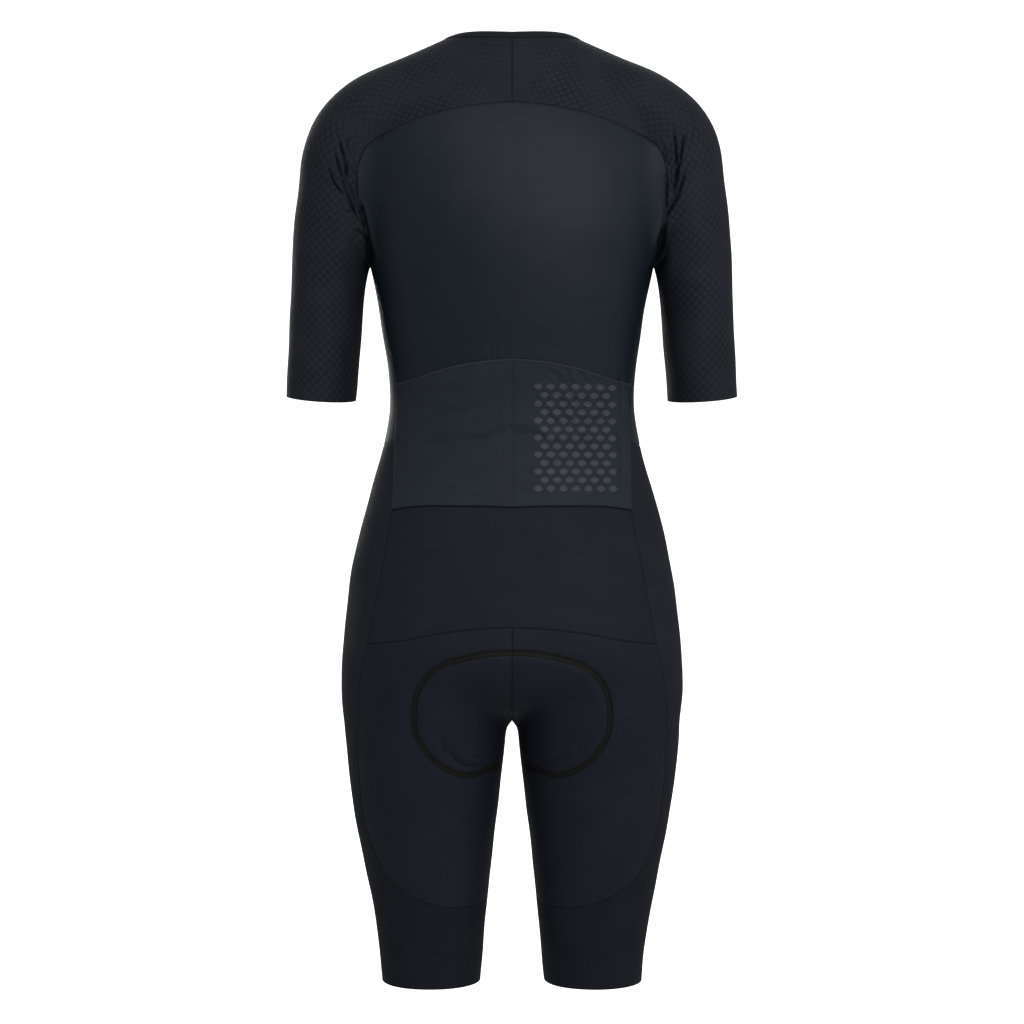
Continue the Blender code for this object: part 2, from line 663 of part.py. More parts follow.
def edge_moves(points, normal, closes):
    """How far each point of a grid moves so that its open edges stand back from their seams."""
    rows, cols = points.shape[:2]
    move = np.zeros_like(points)
    lines = [(points[0], normal[0], move[0], points[1]), (points[-1], normal[-1], move[-1], points[-2])]
    end = rows if closes is None else closes + 1
    for k, beside in ((0, 1), (-1, -2)):
        lines.append((points[:end, k], normal[:end, k], move[:end, k], points[:end, beside]))
    for line, out, part, beside in lines:
        across = np.cross(out, np.gradient(line, axis=0))
        across /= np.linalg.norm(across, axis=1)[:, None]
        inward = np.sign(((beside - line) * across).sum(1))[:, None]
        part += across * inward * GAP / 2
    if closes is not None:
        move[-1, 0] = move[-1, -1] = (move[-1, 0] + move[-1, -1]) / 2
        tip = points[closes + 1, 0] - points[closes, 0]  # where the edges meet, they move on down the tube
        move[closes, 0] = move[closes, -1] = tip * GAP / np.linalg.norm(tip)
    return move


def solid(name, grid, material, wall=WALL, lift=0.0, closes=None, normal=None):
    """A closed panel: a grid of points, its copy inside the wall, and the edges between them."""
    both_sides = not name.endswith(("left", "right"))
    if normal is None:
        normal = normals(grid.reshape(-1, 3)).reshape(grid.shape)
    move = edge_moves(grid, normal, closes)
    points = grid + move + lift * normal
    inside = points + 2 * move - wall * normal  # its edges stand back more, as the wall turns along a seam
    rows, cols = grid.shape[:2]
    bm = bmesh.new()
    bmesh.ops.create_grid(bm, x_segments=cols - 1, y_segments=rows - 1, size=1)
    index = bm.verts.layers.int.new("index")
    for v in bm.verts:
        row, col = round((v.co.y + 1) / 2 * (rows - 1)), round((v.co.x + 1) / 2 * (cols - 1))
        v[index] = row * cols + col
    turned = [f for f in bm.faces if both_sides and f.calc_center_median().x > 0]
    flat, inner = points.reshape(-1, 3), inside.reshape(-1, 3)
    for v in bm.verts:
        v.co = flat[v[index]] * MM
    if closes is not None:
        at = {v[index]: v for v in bm.verts}
        pairs = {at[r * cols + cols - 1]: at[r * cols] for r in range(closes, rows)}
        bmesh.ops.weld_verts(bm, targetmap=pairs)
    bmesh.ops.triangulate(bm, faces=turned, quad_method="ALTERNATE")
    bmesh.ops.triangulate(bm, faces=[f for f in bm.faces if len(f.verts) == 4], quad_method="FIXED")
    made = bmesh.ops.extrude_face_region(bm, geom=bm.faces[:], use_keep_orig=True)
    for v in made["geom"]:
        if isinstance(v, bmesh.types.BMVert):
            v.co = inner[v[index]] * MM
    bmesh.ops.recalc_face_normals(bm, faces=bm.faces[:])
    return object_of(name, bm, material)


def object_of(name, bm, material=None):
    mesh = bpy.data.meshes.new(name)
    bm.to_mesh(mesh)
    bm.free()
    mesh.shade_smooth()
    mesh.set_sharp_from_angle(angle=SHARP_ANGLE * TURN)
    if material:
        mesh.materials.append(material)
    ob = bpy.data.objects.new(name, mesh)
    bpy.context.scene.collection.objects.link(ob)
    return ob


def paint(name, colour, roughness, metallic=0.0):
    material = bpy.data.materials.new(name)
    material.use_nodes = True
    shader = material.node_tree.nodes["Principled BSDF"]
    shader.inputs["Base Color"].default_value = (*colour, 1)
    shader.inputs["Roughness"].default_value = roughness
    shader.inputs["Metallic"].default_value = metallic
    return material


def neckband(s, rises):
    """A strip that carries the panels' slope on past the neck seam, with its ends upright along the zip."""
    line = whole(joined(s["neck_front"][::-1], s["neck_back"][::-1]))
    out = normals(line)
    up = np.cross(out, np.gradient(line, axis=0))
    for k in (0, -1):
        up[k, 0] = 0
    up /= np.linalg.norm(up, axis=1)[:, None]
    up *= np.sign(((np.array((0, NECK_Y, 20)) - line) * up).sum(1))[:, None]
    grid = np.stack([line + rise * up for rise in rises])
    return grid, np.stack([out] * len(rises)), up[0]


def zip_strip(s, up, across):
    """The closed chain between the front panels, from the waist seam to the neckband's top."""
    line = np.concatenate([(s["zip"][:1] + NECKBAND_RISE * up), s["zip"]]) * (0, 1, 1)
    line[-1, 2] += GAP / 2
    out = normals(line)
    out[0] = out[1]
    x = np.array(across)[None, :, None] * (ZIP_GAP - GAP / 2)
    grid = line[:, None] + x * np.array((1.0, 0, 0))
    return grid, np.repeat(out[:, None], len(across), axis=1)


def slider_place(s):
    """The slider's frame on the chain, from its middle: across, down the chain and outward."""
    line = s["zip"] * (0, 1, 1)
    at = np.array((SLIDER_DOWN - SLIDER_LENGTH / 2, SLIDER_DOWN + SLIDER_LENGTH / 2))
    top, low = np.stack([np.interp(at, run_of(line), line[:, k]) for k in range(3)], axis=1)
    down = (low - top) / np.linalg.norm(low - top)
    across = np.array((-1.0, 0, 0))
    frame = np.eye(4)
    frame[:3] = np.stack([across, down, np.cross(across, down), (top + low) / 2], axis=1)
    return Matrix.Scale(MM, 4) @ Matrix(frame)


def block(bm, size, middle):
    """A box in the slider's frame: across, down and out."""
    made = bmesh.ops.create_cube(bm, size=1)["verts"]
    bmesh.ops.scale(bm, vec=size, verts=made)
    bmesh.ops.translate(bm, vec=middle, verts=made)
    return made


def cutter(name, bm):
    ob = object_of(name, bm)
    ob.hide_render = True
    ob.display_type = "WIRE"
    return ob


def boolean(ob, other, operation):
    """Adds a Boolean with another object."""
    modifier = ob.modifiers.new(other.name, "BOOLEAN")
    modifier.operation = operation
    modifier.object = other


def soften(bm, verts, offset, upright=False):
    """Rounds the edges of a block; only those that run outward when upright is set."""
    edges = {e for v in verts for e in v.link_edges}
    if upright:
        edges = {e for e in edges if abs((e.verts[0].co - e.verts[1].co).normalized().z) > 0.9}
    edges = list(edges)
    bmesh.ops.bevel(bm, geom=edges, offset=offset, segments=3, profile=0.5, affect="EDGES", material=-1)


def slider(place, material):
    bm = bmesh.new()
    middle = SLIDER_CLEAR + SLIDER_THICK / 2
    body = block(bm, (SLIDER_WIDTH, SLIDER_LENGTH, SLIDER_THICK), (0, 0, middle))
    soften(bm, body, SLIDER_CORNER, upright=True)
    ob = object_of("zip_slider", bm, material)
    bm = bmesh.new()
    low, high = SLIDER_CLEAR + SLIDER_THICK - BRIDGE_SINK, PIN_OUT + PIN_HOLE + BRIDGE_WALL
    length = 2 * (PIN_HOLE + BRIDGE_WALL)
    soften(bm, block(bm, (BRIDGE_WIDTH, length, high - low), (0, PIN_DOWN, (low + high) / 2)), BRIDGE_CORNER)
    bridge = cutter("slider_bridge", bm)
    bm = bmesh.new()
    made = bmesh.ops.create_cone(
        bm, cap_ends=True, segments=HOLE_SIDES, radius1=PIN_HOLE, radius2=PIN_HOLE, depth=2 * SLIDER_WIDTH)
    bmesh.ops.rotate(bm, verts=made["verts"], matrix=Matrix.Rotation(math.pi / 2, 3, "Y"))
    bmesh.ops.translate(bm, verts=made["verts"], vec=(0, PIN_DOWN, PIN_OUT))
    hole = cutter("slider_hole", bm)
    boolean(ob, bridge, "UNION")
    boolean(ob, hole, "DIFFERENCE")
    for piece in (ob, bridge, hole):
        piece.data.transform(place)


def pull_tab(place, material):
    """The tab hangs by the bar above its window. Its object's origin is on that bar's axis."""
    bm = bmesh.new()
    top = -PIN_THICK / 2
    plate = block(bm, (TAB_WIDTH, TAB_LENGTH, PIN_THICK), (0, top + TAB_LENGTH / 2, 0))
    soften(bm, plate, TAB_CORNER, upright=True)
    ob = object_of("zip_pull", bm, material)
    bm = bmesh.new()
    block(bm, (WINDOW_WIDTH, WINDOW_LENGTH, 4 * PIN_THICK), (0, PIN_THICK / 2 + WINDOW_LENGTH / 2, 0))
    window = cutter("pull_window", bm)
    boolean(ob, window, "DIFFERENCE")
    pin = Matrix.Translation((0, PIN_DOWN, PIN_OUT))
    hinge = place @ pin @ Vector((0, 0, 0))
    for piece in (ob, window):
        piece.data.transform(Matrix.Translation(-hinge) @ place @ pin)
        piece.location = hinge


# ------------------------------------------------------------ colours: base colour, roughness, metallic
LOOKS = {
    "smooth_knit": ((0.012, 0.016, 0.019), 0.6, 0.0),
    "pocket_knit": ((0.014, 0.018, 0.024), 0.5, 0.0),
    "dimpled_knit": ((0.008, 0.008, 0.011), 0.7, 0.0),
    "dark_knit": ((0.006, 0.007, 0.013), 0.6, 0.0),
    "side_knit": ((0.006, 0.006, 0.009), 0.6, 0.0),
    "neck_binding": ((0.004, 0.008, 0.006), 0.7, 0.0),
    "zip_black": ((0.006, 0.006, 0.007), 0.45, 0.0),
    "slider_metal": ((0.03, 0.03, 0.032), 0.35, 0.8),
}
LOOK_OF = {
    "back": "smooth_knit",
    "front": "smooth_knit",
    "pocket": "pocket_knit",
    "sleeve": "dimpled_knit",
    "lower": "dark_knit",
    "seat": "dark_knit",
    "side": "side_knit",
}


def main():
    for ob in list(bpy.data.objects):
        bpy.data.objects.remove(ob, do_unlink=True)
    paints = {name: paint(name, *look) for name, look in LOOKS.items()}
    found, s = panels(1)
    for name, (grid, closes) in found.items():
        wall, lift = (POCKET_WALL, POCKET_WALL + GAP) if name == "pocket_panel" else (WALL, 0.0)
        solid(name, grid, paints[LOOK_OF[name.split("_")[0]]], wall, lift, closes)
    grid, out, up = neckband(s, np.array((0, 0.5, 1)) * NECKBAND_RISE)
    solid("neckband", grid, paints["neck_binding"], NECKBAND_WALL, normal=out)
    grid, out = zip_strip(s, up, (-1, -0.3, 0.3, 1))
    solid("zip_chain", grid, paints["zip_black"], ZIP_WALL, normal=out)
    place = slider_place(s)
    slider(place, paints["slider_metal"])
    pull_tab(place, paints["slider_metal"])


if __name__ == "__main__":
    main()
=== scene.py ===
"""The roadsuit's cloth, trims, stitching and finishes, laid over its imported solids.

Sizes are in millimetres and are turned into metres when a mesh is made. +Z is up, -Y is the wearer's front
and +X the wearer's left. The figure, the seams and the panels are worked out as they are for the solids, with
more points, and then take their creases.
"""

import math

import bmesh
import bpy
import numpy as np
from mathutils import Matrix, Vector


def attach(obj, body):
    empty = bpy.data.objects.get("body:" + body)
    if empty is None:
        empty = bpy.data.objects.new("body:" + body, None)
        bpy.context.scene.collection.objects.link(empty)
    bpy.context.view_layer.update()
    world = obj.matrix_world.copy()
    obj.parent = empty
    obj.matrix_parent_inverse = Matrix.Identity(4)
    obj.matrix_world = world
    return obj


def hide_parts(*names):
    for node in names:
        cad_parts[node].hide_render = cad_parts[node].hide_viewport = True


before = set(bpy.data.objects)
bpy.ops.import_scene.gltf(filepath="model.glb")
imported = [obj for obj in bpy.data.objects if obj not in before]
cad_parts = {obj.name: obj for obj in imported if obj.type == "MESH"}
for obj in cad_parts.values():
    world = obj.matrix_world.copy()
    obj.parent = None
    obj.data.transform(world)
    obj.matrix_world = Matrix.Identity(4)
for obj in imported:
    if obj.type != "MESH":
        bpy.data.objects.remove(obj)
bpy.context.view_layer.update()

MM = 0.001

# ------------------------------------------------------------ the general figure that the cloth is cut for
# Half width and reach to the back and front of the body, for each height. "middle" is the y of the widest
# place, "power" is how square the section is (2 is an ellipse).
BODY_COLUMNS = ("z", "half_width", "back", "front", "middle", "power")
BODY = (
    (20, 44, 27, -22, -4, 2.0),
    (2, 66, 40, -33, -4, 2.0),
    (-18, 95, 52, -43, -5, 2.0),
    (-45, 126, 65, -55, -5, 2.1),
    (-80, 146, 78, -72, -6, 2.2),
    (-130, 150, 89, -98, -8, 2.3),
    (-180, 145, 93, -116, -9, 2.3),
    (-230, 134, 89, -119, -9, 2.3),
    (-290, 124, 78, -110, -10, 2.3),
    (-350, 119, 70, -103, -10, 2.2),
    (-410, 131, 76, -103, -8, 2.2),
    (-470, 147, 93, -106, -4, 2.3),
    (-530, 158, 109, -106, 0, 2.3),
    (-590, 161, 118, -101, 3, 2.3),
    (-650, 159.5, 114, -95, 4, 2.3),
    (-710, 158, 110, -92, 4, 2.3),
)
LEG_COLUMNS = ("z", "centre", "half_width", "back", "front")
LEG = (
    (-520, 66, 74, 92, -84),
    (-580, 78, 80, 103, -90),
    (-640, 83, 79.4, 96, -92),
    (-700, 84, 74.7, 84, -88),
    (-745, 83.6, 68.7, 77, -81),
    (-790, 81.6, 62, 70, -73),
    (-835, 79.6, 55, 63, -65),
    (-880, 78.4, 49.6, 58, -59),
    (-925, 78.2, 46, 55, -55),
)
# The sleeve's middle line runs from beside the neck over the shoulder and down the arm.
ARM_COLUMNS = ("x", "y", "z", "half_width", "half_depth")
ARM = (
    (-6, -3, -13, 40, 37),
    (37, -3, -31, 45, 46),
    (90, -3, -55, 46, 52),
    (135, -3, -75, 44.6, 54),
    (155, -4, -98, 44.8, 54),
    (164, -7, -134, 43, 54),
    (171.3, -11, -177, 41, 52.5),
    (178.8, -16, -225, 36.5, 50),
    (182.3, -21, -272, 35.2, 48),
    (185.5, -26, -318, 34.3, 46.5),
    (188, -30, -352, 33.8, 45.5),
    (191, -35, -400, 33.5, 45),
)
CROTCH_Z = -652
CROTCH_Y = 2.0
CROTCH_RADIUS = 150.0  # of the curve that the centre seam follows between the legs
# How softly arm and body meet, by height: hardly at the armpit's point, and widely behind the shoulder, where
# the stretched back panel bridges them.
ARM_BLEND_Z = (-212.0, -182.0, -128.0, -98.0)
ARM_BLEND = (2.5, 28.0, 28.0, 7.0)
LEG_BLEND = 14.0
CROTCH_BLEND = 34.0
WAIST_Z = -430.0  # arms lie above it and legs below
BODY_Y = -8.0  # the body's upright axis, from which its panels are laid out
# How the surface is found: rounds, and the share of the stated distance that each round moves.
CAST_ROUNDS = 45
CAST_SHARE = 0.85
PULL_ROUNDS = 6
PULL_SHARE = 0.9
SLOPE_STEP = 0.4
CAST_SKIP = 4  # on a grid, the lines that are followed in full
FINE_ROUNDS = 8
SETTLE_ROUNDS = 4
CHART_ROUNDS = 12
CHART_SHARE = 0.6
ARM_POWER = 2.0  # how square the sections of arm and leg are
LEG_POWER = 2.1
NO_ZERO = 1e-4


def spline(at, values):
    """A natural cubic spline through (at, values), as a function. Past its ends it goes on straight."""
    at, values = np.asarray(at, float), np.asarray(values, float)
    if at[0] > at[-1]:
        at, values = at[::-1], values[::-1]
    values = values.reshape(len(at), -1)
    gap = np.diff(at)
    slope = np.diff(values, axis=0) / gap[:, None]
    rows = np.eye(len(at))
    right = np.zeros_like(values)
    for i in range(1, len(at) - 1):
        rows[i, i - 1 : i + 2] = gap[i - 1], 2 * (gap[i - 1] + gap[i]), gap[i]
        right[i] = 6 * (slope[i] - slope[i - 1])
    bend = np.linalg.solve(rows, right)

    def read(x):
        x = np.asarray(x, float)
        flat = x.reshape(-1)
        i = np.clip(np.searchsorted(at, flat) - 1, 0, len(gap) - 1)
        inside = np.clip(flat, at[0], at[-1])
        h = gap[i][:, None]
        b = ((inside - at[i]) / gap[i])[:, None]
        a = 1 - b
        y = a * values[i] + b * values[i + 1] + ((a**3 - a) * bend[i] + (b**3 - b) * bend[i + 1]) * h * h / 6
        end = slope[i] + h * ((1 - 3 * a * a) * bend[i] + (3 * b * b - 1) * bend[i + 1]) / 6
        y = y + end * (flat - inside)[:, None]
        return y.reshape(x.shape + values.shape[1:]) if values.shape[1] > 1 else y.reshape(x.shape)

    return read


def run_of(line):
    """The distance along a line at each of its points."""
    return np.concatenate([[0], np.cumsum(np.linalg.norm(np.diff(line, axis=0), axis=1))])


def columns(table, names):
    return dict(zip(names, np.array(table, float).T))


body_table = columns(BODY, BODY_COLUMNS)
leg_table = columns(LEG, LEG_COLUMNS)
arm_table = columns(ARM, ARM_COLUMNS)
body_at = spline(body_table["z"], np.stack([body_table[n] for n in BODY_COLUMNS[1:]], axis=1))
leg_at = spline(leg_table["z"], np.stack([leg_table[n] for n in LEG_COLUMNS[1:]], axis=1))

ARM_STEP = 4.0


def arm_line():
    """Points one step apart along the arm's middle line, with its direction and half sizes there."""
    knots = np.stack([arm_table[n] for n in ARM_COLUMNS], axis=1)
    along = run_of(knots[:, :3])
    line = spline(along, knots)(np.arange(0, along[-1], ARM_STEP))
    direction = np.gradient(line[:, :3], axis=0)
    return line, direction / np.linalg.norm(direction, axis=1)[:, None]


ARM_LINE, ARM_DIRECTION = arm_line()


def smooth_min(a, b, blend):
    h = np.clip(0.5 + 0.5 * (b - a) / blend, 0, 1)
    return b + (a - b) * h - blend * h * (1 - h)


def section(across, deep, half_width, back, front, power):
    """How far a point is outside a rounded section, measured towards its middle."""
    reach = np.where(deep > 0, back, front)
    across = np.abs(across) + NO_ZERO  # off the very middle, where the share below has no value
    q = ((across / half_width) ** power + np.abs(deep / reach) ** power) ** (1 / power)
    return np.hypot(across, deep) * (1 - 1 / q)


def body_form(p):
    half, back, front, middle, power = np.moveaxis(body_at(p[:, 2]), -1, 0)
    return section(p[:, 0], p[:, 1] - middle, half, back - middle, middle - front, power)


def arm_form(p):
    x = np.abs(p[:, 0])
    q = np.stack([x, p[:, 1], p[:, 2]], axis=1)
    away = q[:, None, :] - ARM_LINE[None, :, :3]
    nearest = np.einsum("ijk,ijk->ij", away, away).argmin(1)
    beyond = np.einsum("ik,ik->i", away[np.arange(len(q)), nearest], ARM_DIRECTION[nearest])
    at = np.clip(nearest + np.clip(beyond / ARM_STEP, -1, 1), 0, len(ARM_LINE) - 1)
    low = np.minimum(at.astype(int), len(ARM_LINE) - 2)
    share = (at - low)[:, None]
    row = ARM_LINE[low] * (1 - share) + ARM_LINE[low + 1] * share
    direction = ARM_DIRECTION[low] * (1 - share) + ARM_DIRECTION[low + 1] * share
    off = q - row[:, :3]
    beyond = np.einsum("ij,ij->i", off, direction)
    off = off - beyond[:, None] * direction
    deep_axis = np.array([0.0, 1.0, 0.0]) - direction[:, 1:2] * direction
    deep_axis /= np.linalg.norm(deep_axis, axis=1)[:, None]
    deep = np.einsum("ij,ij->i", off, deep_axis)
    across = np.linalg.norm(off - deep[:, None] * deep_axis, axis=1)
    past = np.where((at <= 0) | (at >= len(ARM_LINE) - 1), np.abs(beyond), 0)
    return section(across, deep, row[:, 3], row[:, 4], row[:, 4], ARM_POWER) + past


def leg_form(p):
    centre, half, back, front = np.moveaxis(leg_at(p[:, 2]), -1, 0)
    middle = (back + front) / 2
    across = np.abs(p[:, 0]) - centre
    return section(across, p[:, 1] - middle, half, back - middle, middle - front, LEG_POWER)


def figure(p):
    """Below zero inside the figure. The body ends between the legs in a curved floor."""
    floor = CROTCH_Z + (p[:, 1] - CROTCH_Y) ** 2 / (2 * CROTCH_RADIUS) - p[:, 2]
    out = -smooth_min(-body_form(p), -floor, CROTCH_BLEND)
    high = p[:, 2] > WAIST_Z
    blend = np.interp(p[high][:, 2], ARM_BLEND_Z, ARM_BLEND)
    out[high] = smooth_min(out[high], arm_form(p[high]), blend)
    out[~high] = smooth_min(out[~high], leg_form(p[~high]), LEG_BLEND)
    return out


def cast(start, direction):
    """Where the lines from start, inside the figure, leave it: each goes as far as the form says is left."""
    start, direction = np.asarray(start, float), np.asarray(direction, float)
    t = np.zeros(len(start))
    for _ in range(CAST_ROUNDS):
        t -= CAST_SHARE * figure(start + t[:, None] * direction)
    return start + t[:, None] * direction


def cast_grid(start, direction):
    """As cast, for a whole grid of lines: every few in full, and the rest from those beside them."""
    rows, cols = start.shape[:2]
    if min(rows, cols) <= 3 * CAST_SKIP:
        return cast(start.reshape(-1, 3), direction.reshape(-1, 3)).reshape(start.shape)
    r, c = (np.unique(np.append(np.arange(0, n, CAST_SKIP), n - 1)) for n in (rows, cols))
    few = np.ix_(r, c)
    found = cast(start[few].reshape(-1, 3), direction[few].reshape(-1, 3)).reshape(len(r), len(c), 3)
    t = ((found - start[few]) * direction[few]).sum(-1)
    t = spline(c, spline(r, t)(np.arange(rows)).T)(np.arange(cols)).T.reshape(-1)
    start, direction = start.reshape(-1, 3), direction.reshape(-1, 3)
    for _ in range(FINE_ROUNDS):
        t = t - CAST_SHARE * figure(start + t[:, None] * direction)
    return (start + t[:, None] * direction).reshape(rows, cols, 3)


def normals(p):
    """The direction out of the figure at each point of its surface."""
    out = np.stack([figure(p + step) - figure(p - step) for step in SLOPE_STEP * np.eye(3)], axis=1)
    return out / np.linalg.norm(out, axis=1)[:, None]


def pull(p):
    """Points near the figure's surface, moved onto it."""
    for _ in range(PULL_ROUNDS):
        p = p - PULL_SHARE * figure(p)[:, None] * normals(p)
    return p


def settled(p):
    """As pull, for many points that are already near: each keeps one direction."""
    out = normals(p)
    for _ in range(SETTLE_ROUNDS):
        p = p - PULL_SHARE * figure(p)[:, None] * out
    return p


# ------------------------------------------------------------ flat maps of the figure, to lay panels out in
TURN = math.pi / 180


def shot(rows, y=BODY_Y):
    """Points of the figure from rows of x, z and turn. A line starts at depth y and leaves by the back at a
    turn of 90, straight down at 0 and by the front at -90."""
    x, z, turn = np.array(rows, float).T
    direction = np.stack([np.zeros_like(x), np.sin(turn * TURN), -np.cos(turn * TURN)], axis=1)
    return cast(np.stack([x, np.full_like(x, y), z], axis=1), direction)


def around(centre, angle, z):
    """Points of the figure at an angle round an upright axis; 0 is the wearer's left and 90 the back."""
    start = np.stack([centre[..., 0], centre[..., 1], z], axis=-1)
    direction = np.stack([np.cos(angle * TURN), np.sin(angle * TURN), np.zeros_like(z)], axis=-1)
    return cast_grid(start, direction) if z.ndim == 2 else cast(start, direction)


class Upright:
    """Angle and height round an upright line whose x changes with height. 0 is the left, 90 the back."""

    angle_column = 0

    def __init__(self, rows, y):
        self.x_at = spline([r[0] for r in rows], [r[1] for r in rows])
        self.y = y

    def centre(self, z):
        return np.stack([self.x_at(z), np.full(np.shape(z), self.y)], axis=-1)

    def flat(self, p, cut=-180):
        """The map of points, with angles from the cut to a full turn past it."""
        centre = self.centre(p[..., 2])
        angle = np.arctan2(p[..., 1] - centre[..., 1], p[..., 0] - centre[..., 0]) / TURN
        return np.stack([(angle - cut) % 360 + cut, p[..., 2]], axis=-1)

    def round(self, flat):
        return around(self.centre(flat[..., 1]), flat[..., 0], flat[..., 1])


class Along:
    """Distance along the arm's line, and angle round it: 0 is up and out, 90 the back."""

    angle_column = 1

    def frame(self, s):
        at = np.clip(s / ARM_STEP, 0, len(ARM_LINE) - 1.001)
        low = at.astype(int)
        share = (at - low)[..., None]
        row = ARM_LINE[low] * (1 - share) + ARM_LINE[low + 1] * share
        direction = ARM_DIRECTION[low] * (1 - share) + ARM_DIRECTION[low + 1] * share
        direction /= np.linalg.norm(direction, axis=-1)[..., None]
        back = np.array([0.0, 1.0, 0.0]) - direction[..., 1:2] * direction
        back /= np.linalg.norm(back, axis=-1)[..., None]
        return row[..., :3], direction, back, np.cross(direction, back)

    def flat(self, p, cut=-180):
        s = ARM_STEP * np.linalg.norm(p[..., None, :] - ARM_LINE[:, :3], axis=-1).argmin(-1).astype(float)
        for _ in range(CHART_ROUNDS):
            start, direction, back, up = self.frame(s)
            s = s + CHART_SHARE * ((p - start) * direction).sum(-1)
        angle = np.arctan2(((p - start) * back).sum(-1), ((p - start) * up).sum(-1)) / TURN
        return np.stack([s, (angle - cut) % 360 + cut], axis=-1)

    def round(self, flat):
        start, _, back, up = self.frame(flat[..., 0])
        angle = flat[..., 1:] * TURN
        line = np.cos(angle) * up + np.sin(angle) * back
        return cast_grid(start, line) if line.ndim == 3 else cast(start, line)


LEG_MIDDLE = ((-380, 56), (-460, 62), (-560, 74), (-640, 83), (-700, 84), (-790, 81.6), (-920, 78.3))
BODY_MAP = Upright(((0, 0), (-900, 0)), BODY_Y)
LEG_MAP = Upright(LEG_MIDDLE, 0)
ARM_MAP = Along()

# ------------------------------------------------------------ the seams, on the wearer's left
# Each seam is drawn through points of the figure. x, z and turn are as in shot.
YOKE_ARCH = (
    (0, -66, 90),
    (35, -69, 90),
    (67, -75, 90),
    (90, -81, 90),
    (112, -89, 90),
    (131, -98, 90),
    (141, -108, 90),
    (146, -122, 90),
    (147.5, -142, 90),
    (145.5, -166, 90),
    (141.5, -186, 90),
    (139, -198, 70),
    (138, -200, 35),
    (138, -200, 0),
)
FRONT_RAGLAN = (
    (138, -200, 0),
    (138, -200, -35),
    (138.5, -198, -70),
    (138, -176, -90),
    (134, -146, -90),
    (124, -112, -90),
    (104, -78, -90),
    (78, -48, -90),
)
# The neck's edge: rows of angle and z.
NECK = ((90, -0.5), (60, 1), (30, 3.5), (0, 5), (-30, 0), (-50, -11), (-70, -23), (-90, -31))
NECK_POINTS = 14
RAGLAN_ANGLE = -50.0
ZIP_ANGLE = -86.0  # where the neck's edge meets the front panel's edge along the zip
NECK_Y = -3.0
YOKE_Z = (-44, -22)  # the yoke's middle seam passes here between the arch and the neck
OVER_NECK = 20.0  # a point over the neck's middle, which its binding rises towards
NECKBAND_RISE = 8.5
NECKBAND_WALL = 1.6
ZIP_GAP = 3.5  # half the space between the front panels
SIDE_ANGLE = -6.0
WAIST_SIDE_Z = -387.0
WAIST_FRONT_Z = -402.0
WAIST_FRONT_ANGLE = -88.0
WAIST_DIP = 1.5  # how late the waist seam drops from the side to the front: 1 is evenly
POCKET_TOP = ((112, -329), (90, -324.7), (66, -317.4), (40, -312), (16, -309.2), (0, -308.3))
POCKET_SIDE = ((112.5, -384), (112.7, -418), (113, -450.5))
WAIST_BACK = ((113, -450.5), (90, -447), (60, -446.3), (30, -446.6), (0, -447.6))
SEAT_TOP = ((135.8, -575.6), (108, -572.5), (76.5, -566.4), (43, -561.5), (15, -559.2), (0, -558.8))
HIP_SIDE = ((113, -450.5), (117, -473.5), (120.7, -495), (126, -522), (131.5, -551), (135.8, -575.6))
SEAT_SIDE = (
    (135.8, -575.6),
    (140.5, -595),
    (144.7, -621),
    (146, -656),
    (144.9, -706),
    (140.1, -744.5),
    (130, -776.5),
    (117.8, -797),
)
SEAT_HEM = ((117.8, -797), (103.7, -809), (85, -819.5), (63.3, -825.5), (45, -827), (30, -825.5))
# Where the centre seam goes under the body: rows of y and z to cast straight down from.
UNDER_BACK = ((88, -590), (62, -590), (32, -600))
UNDER_FRONT = ((-74, -590), (-52, -590), (-28, -600))
CENTRE_BACK_Z = (-558.8, -580, -600)
CENTRE_FRONT_Z = (WAIST_FRONT_Z, -450, -500, -550, -585)
BAND_Z = -823.0  # where the seat's lower seam meets the inner leg
BAND_DIP = 30.0  # how much lower the first whole ring of the leg lies behind, outside and in front
HEM_Z = -904.5
INSEAM_Z = (-668, -700, -745, -790, BAND_Z)
LOW_INSEAM_Z = (BAND_Z, -864, HEM_Z)
INNER_LEG = 180.0  # the angle in the leg's flat map where its inner seam lies
CUFF_LENGTH = 431.0  # along the arm's line
ABOVE_CROTCH = 50.0  # the line that finds the crotch's point starts this far above it
WAIST_SIDE_SHARES = (0.3, 0.6)  # where the waist seam is drawn between the side seam and the pockets
CHART_POINTS = 10  # the points that a seam is drawn through in a flat map

# How many steps each seam has at a detail of 1. Opposite edges of a panel have the same number.
ARCH_STEPS = 14
YOKE_STEPS = 3
NECK_BACK_STEPS = 13
NECK_FRONT_STEPS = 3
UNDERARM_STEPS = 6
SIDE_TOP_STEPS = 9  # from the armpit down to the level of the pocket's top
SIDE_LOW_STEPS = 3
WAIST_SIDE_STEPS = 4
POCKET_SIDE_STEPS = 3
WAIST_BACK_STEPS = ARCH_STEPS - WAIST_SIDE_STEPS - POCKET_SIDE_STEPS
HIP_STEPS = 5
CROTCH_BACK_STEPS = 5
INSEAM_STEPS = 5
BAND_STEPS = 3
SEAM_POINTS = 120  # at least this many points are drawn along a seam before it is cut into equal steps


def lined(anchors, count):
    """A seam of equal steps, on the figure, through its anchors."""
    anchors = np.asarray(anchors, float)
    run = run_of(anchors)
    fine = pull(spline(run, anchors)(np.linspace(0, run[-1], max(SEAM_POINTS, 2 * count))))
    run = run_of(fine)
    at = np.linspace(0, run[-1], count + 1)
    line = pull(np.stack([np.interp(at, run, fine[:, k]) for k in range(3)], axis=1))
    line[0], line[-1] = anchors[0], anchors[-1]
    return line


def back_of(rows):
    return shot([(x, z, 90) for x, z in rows])


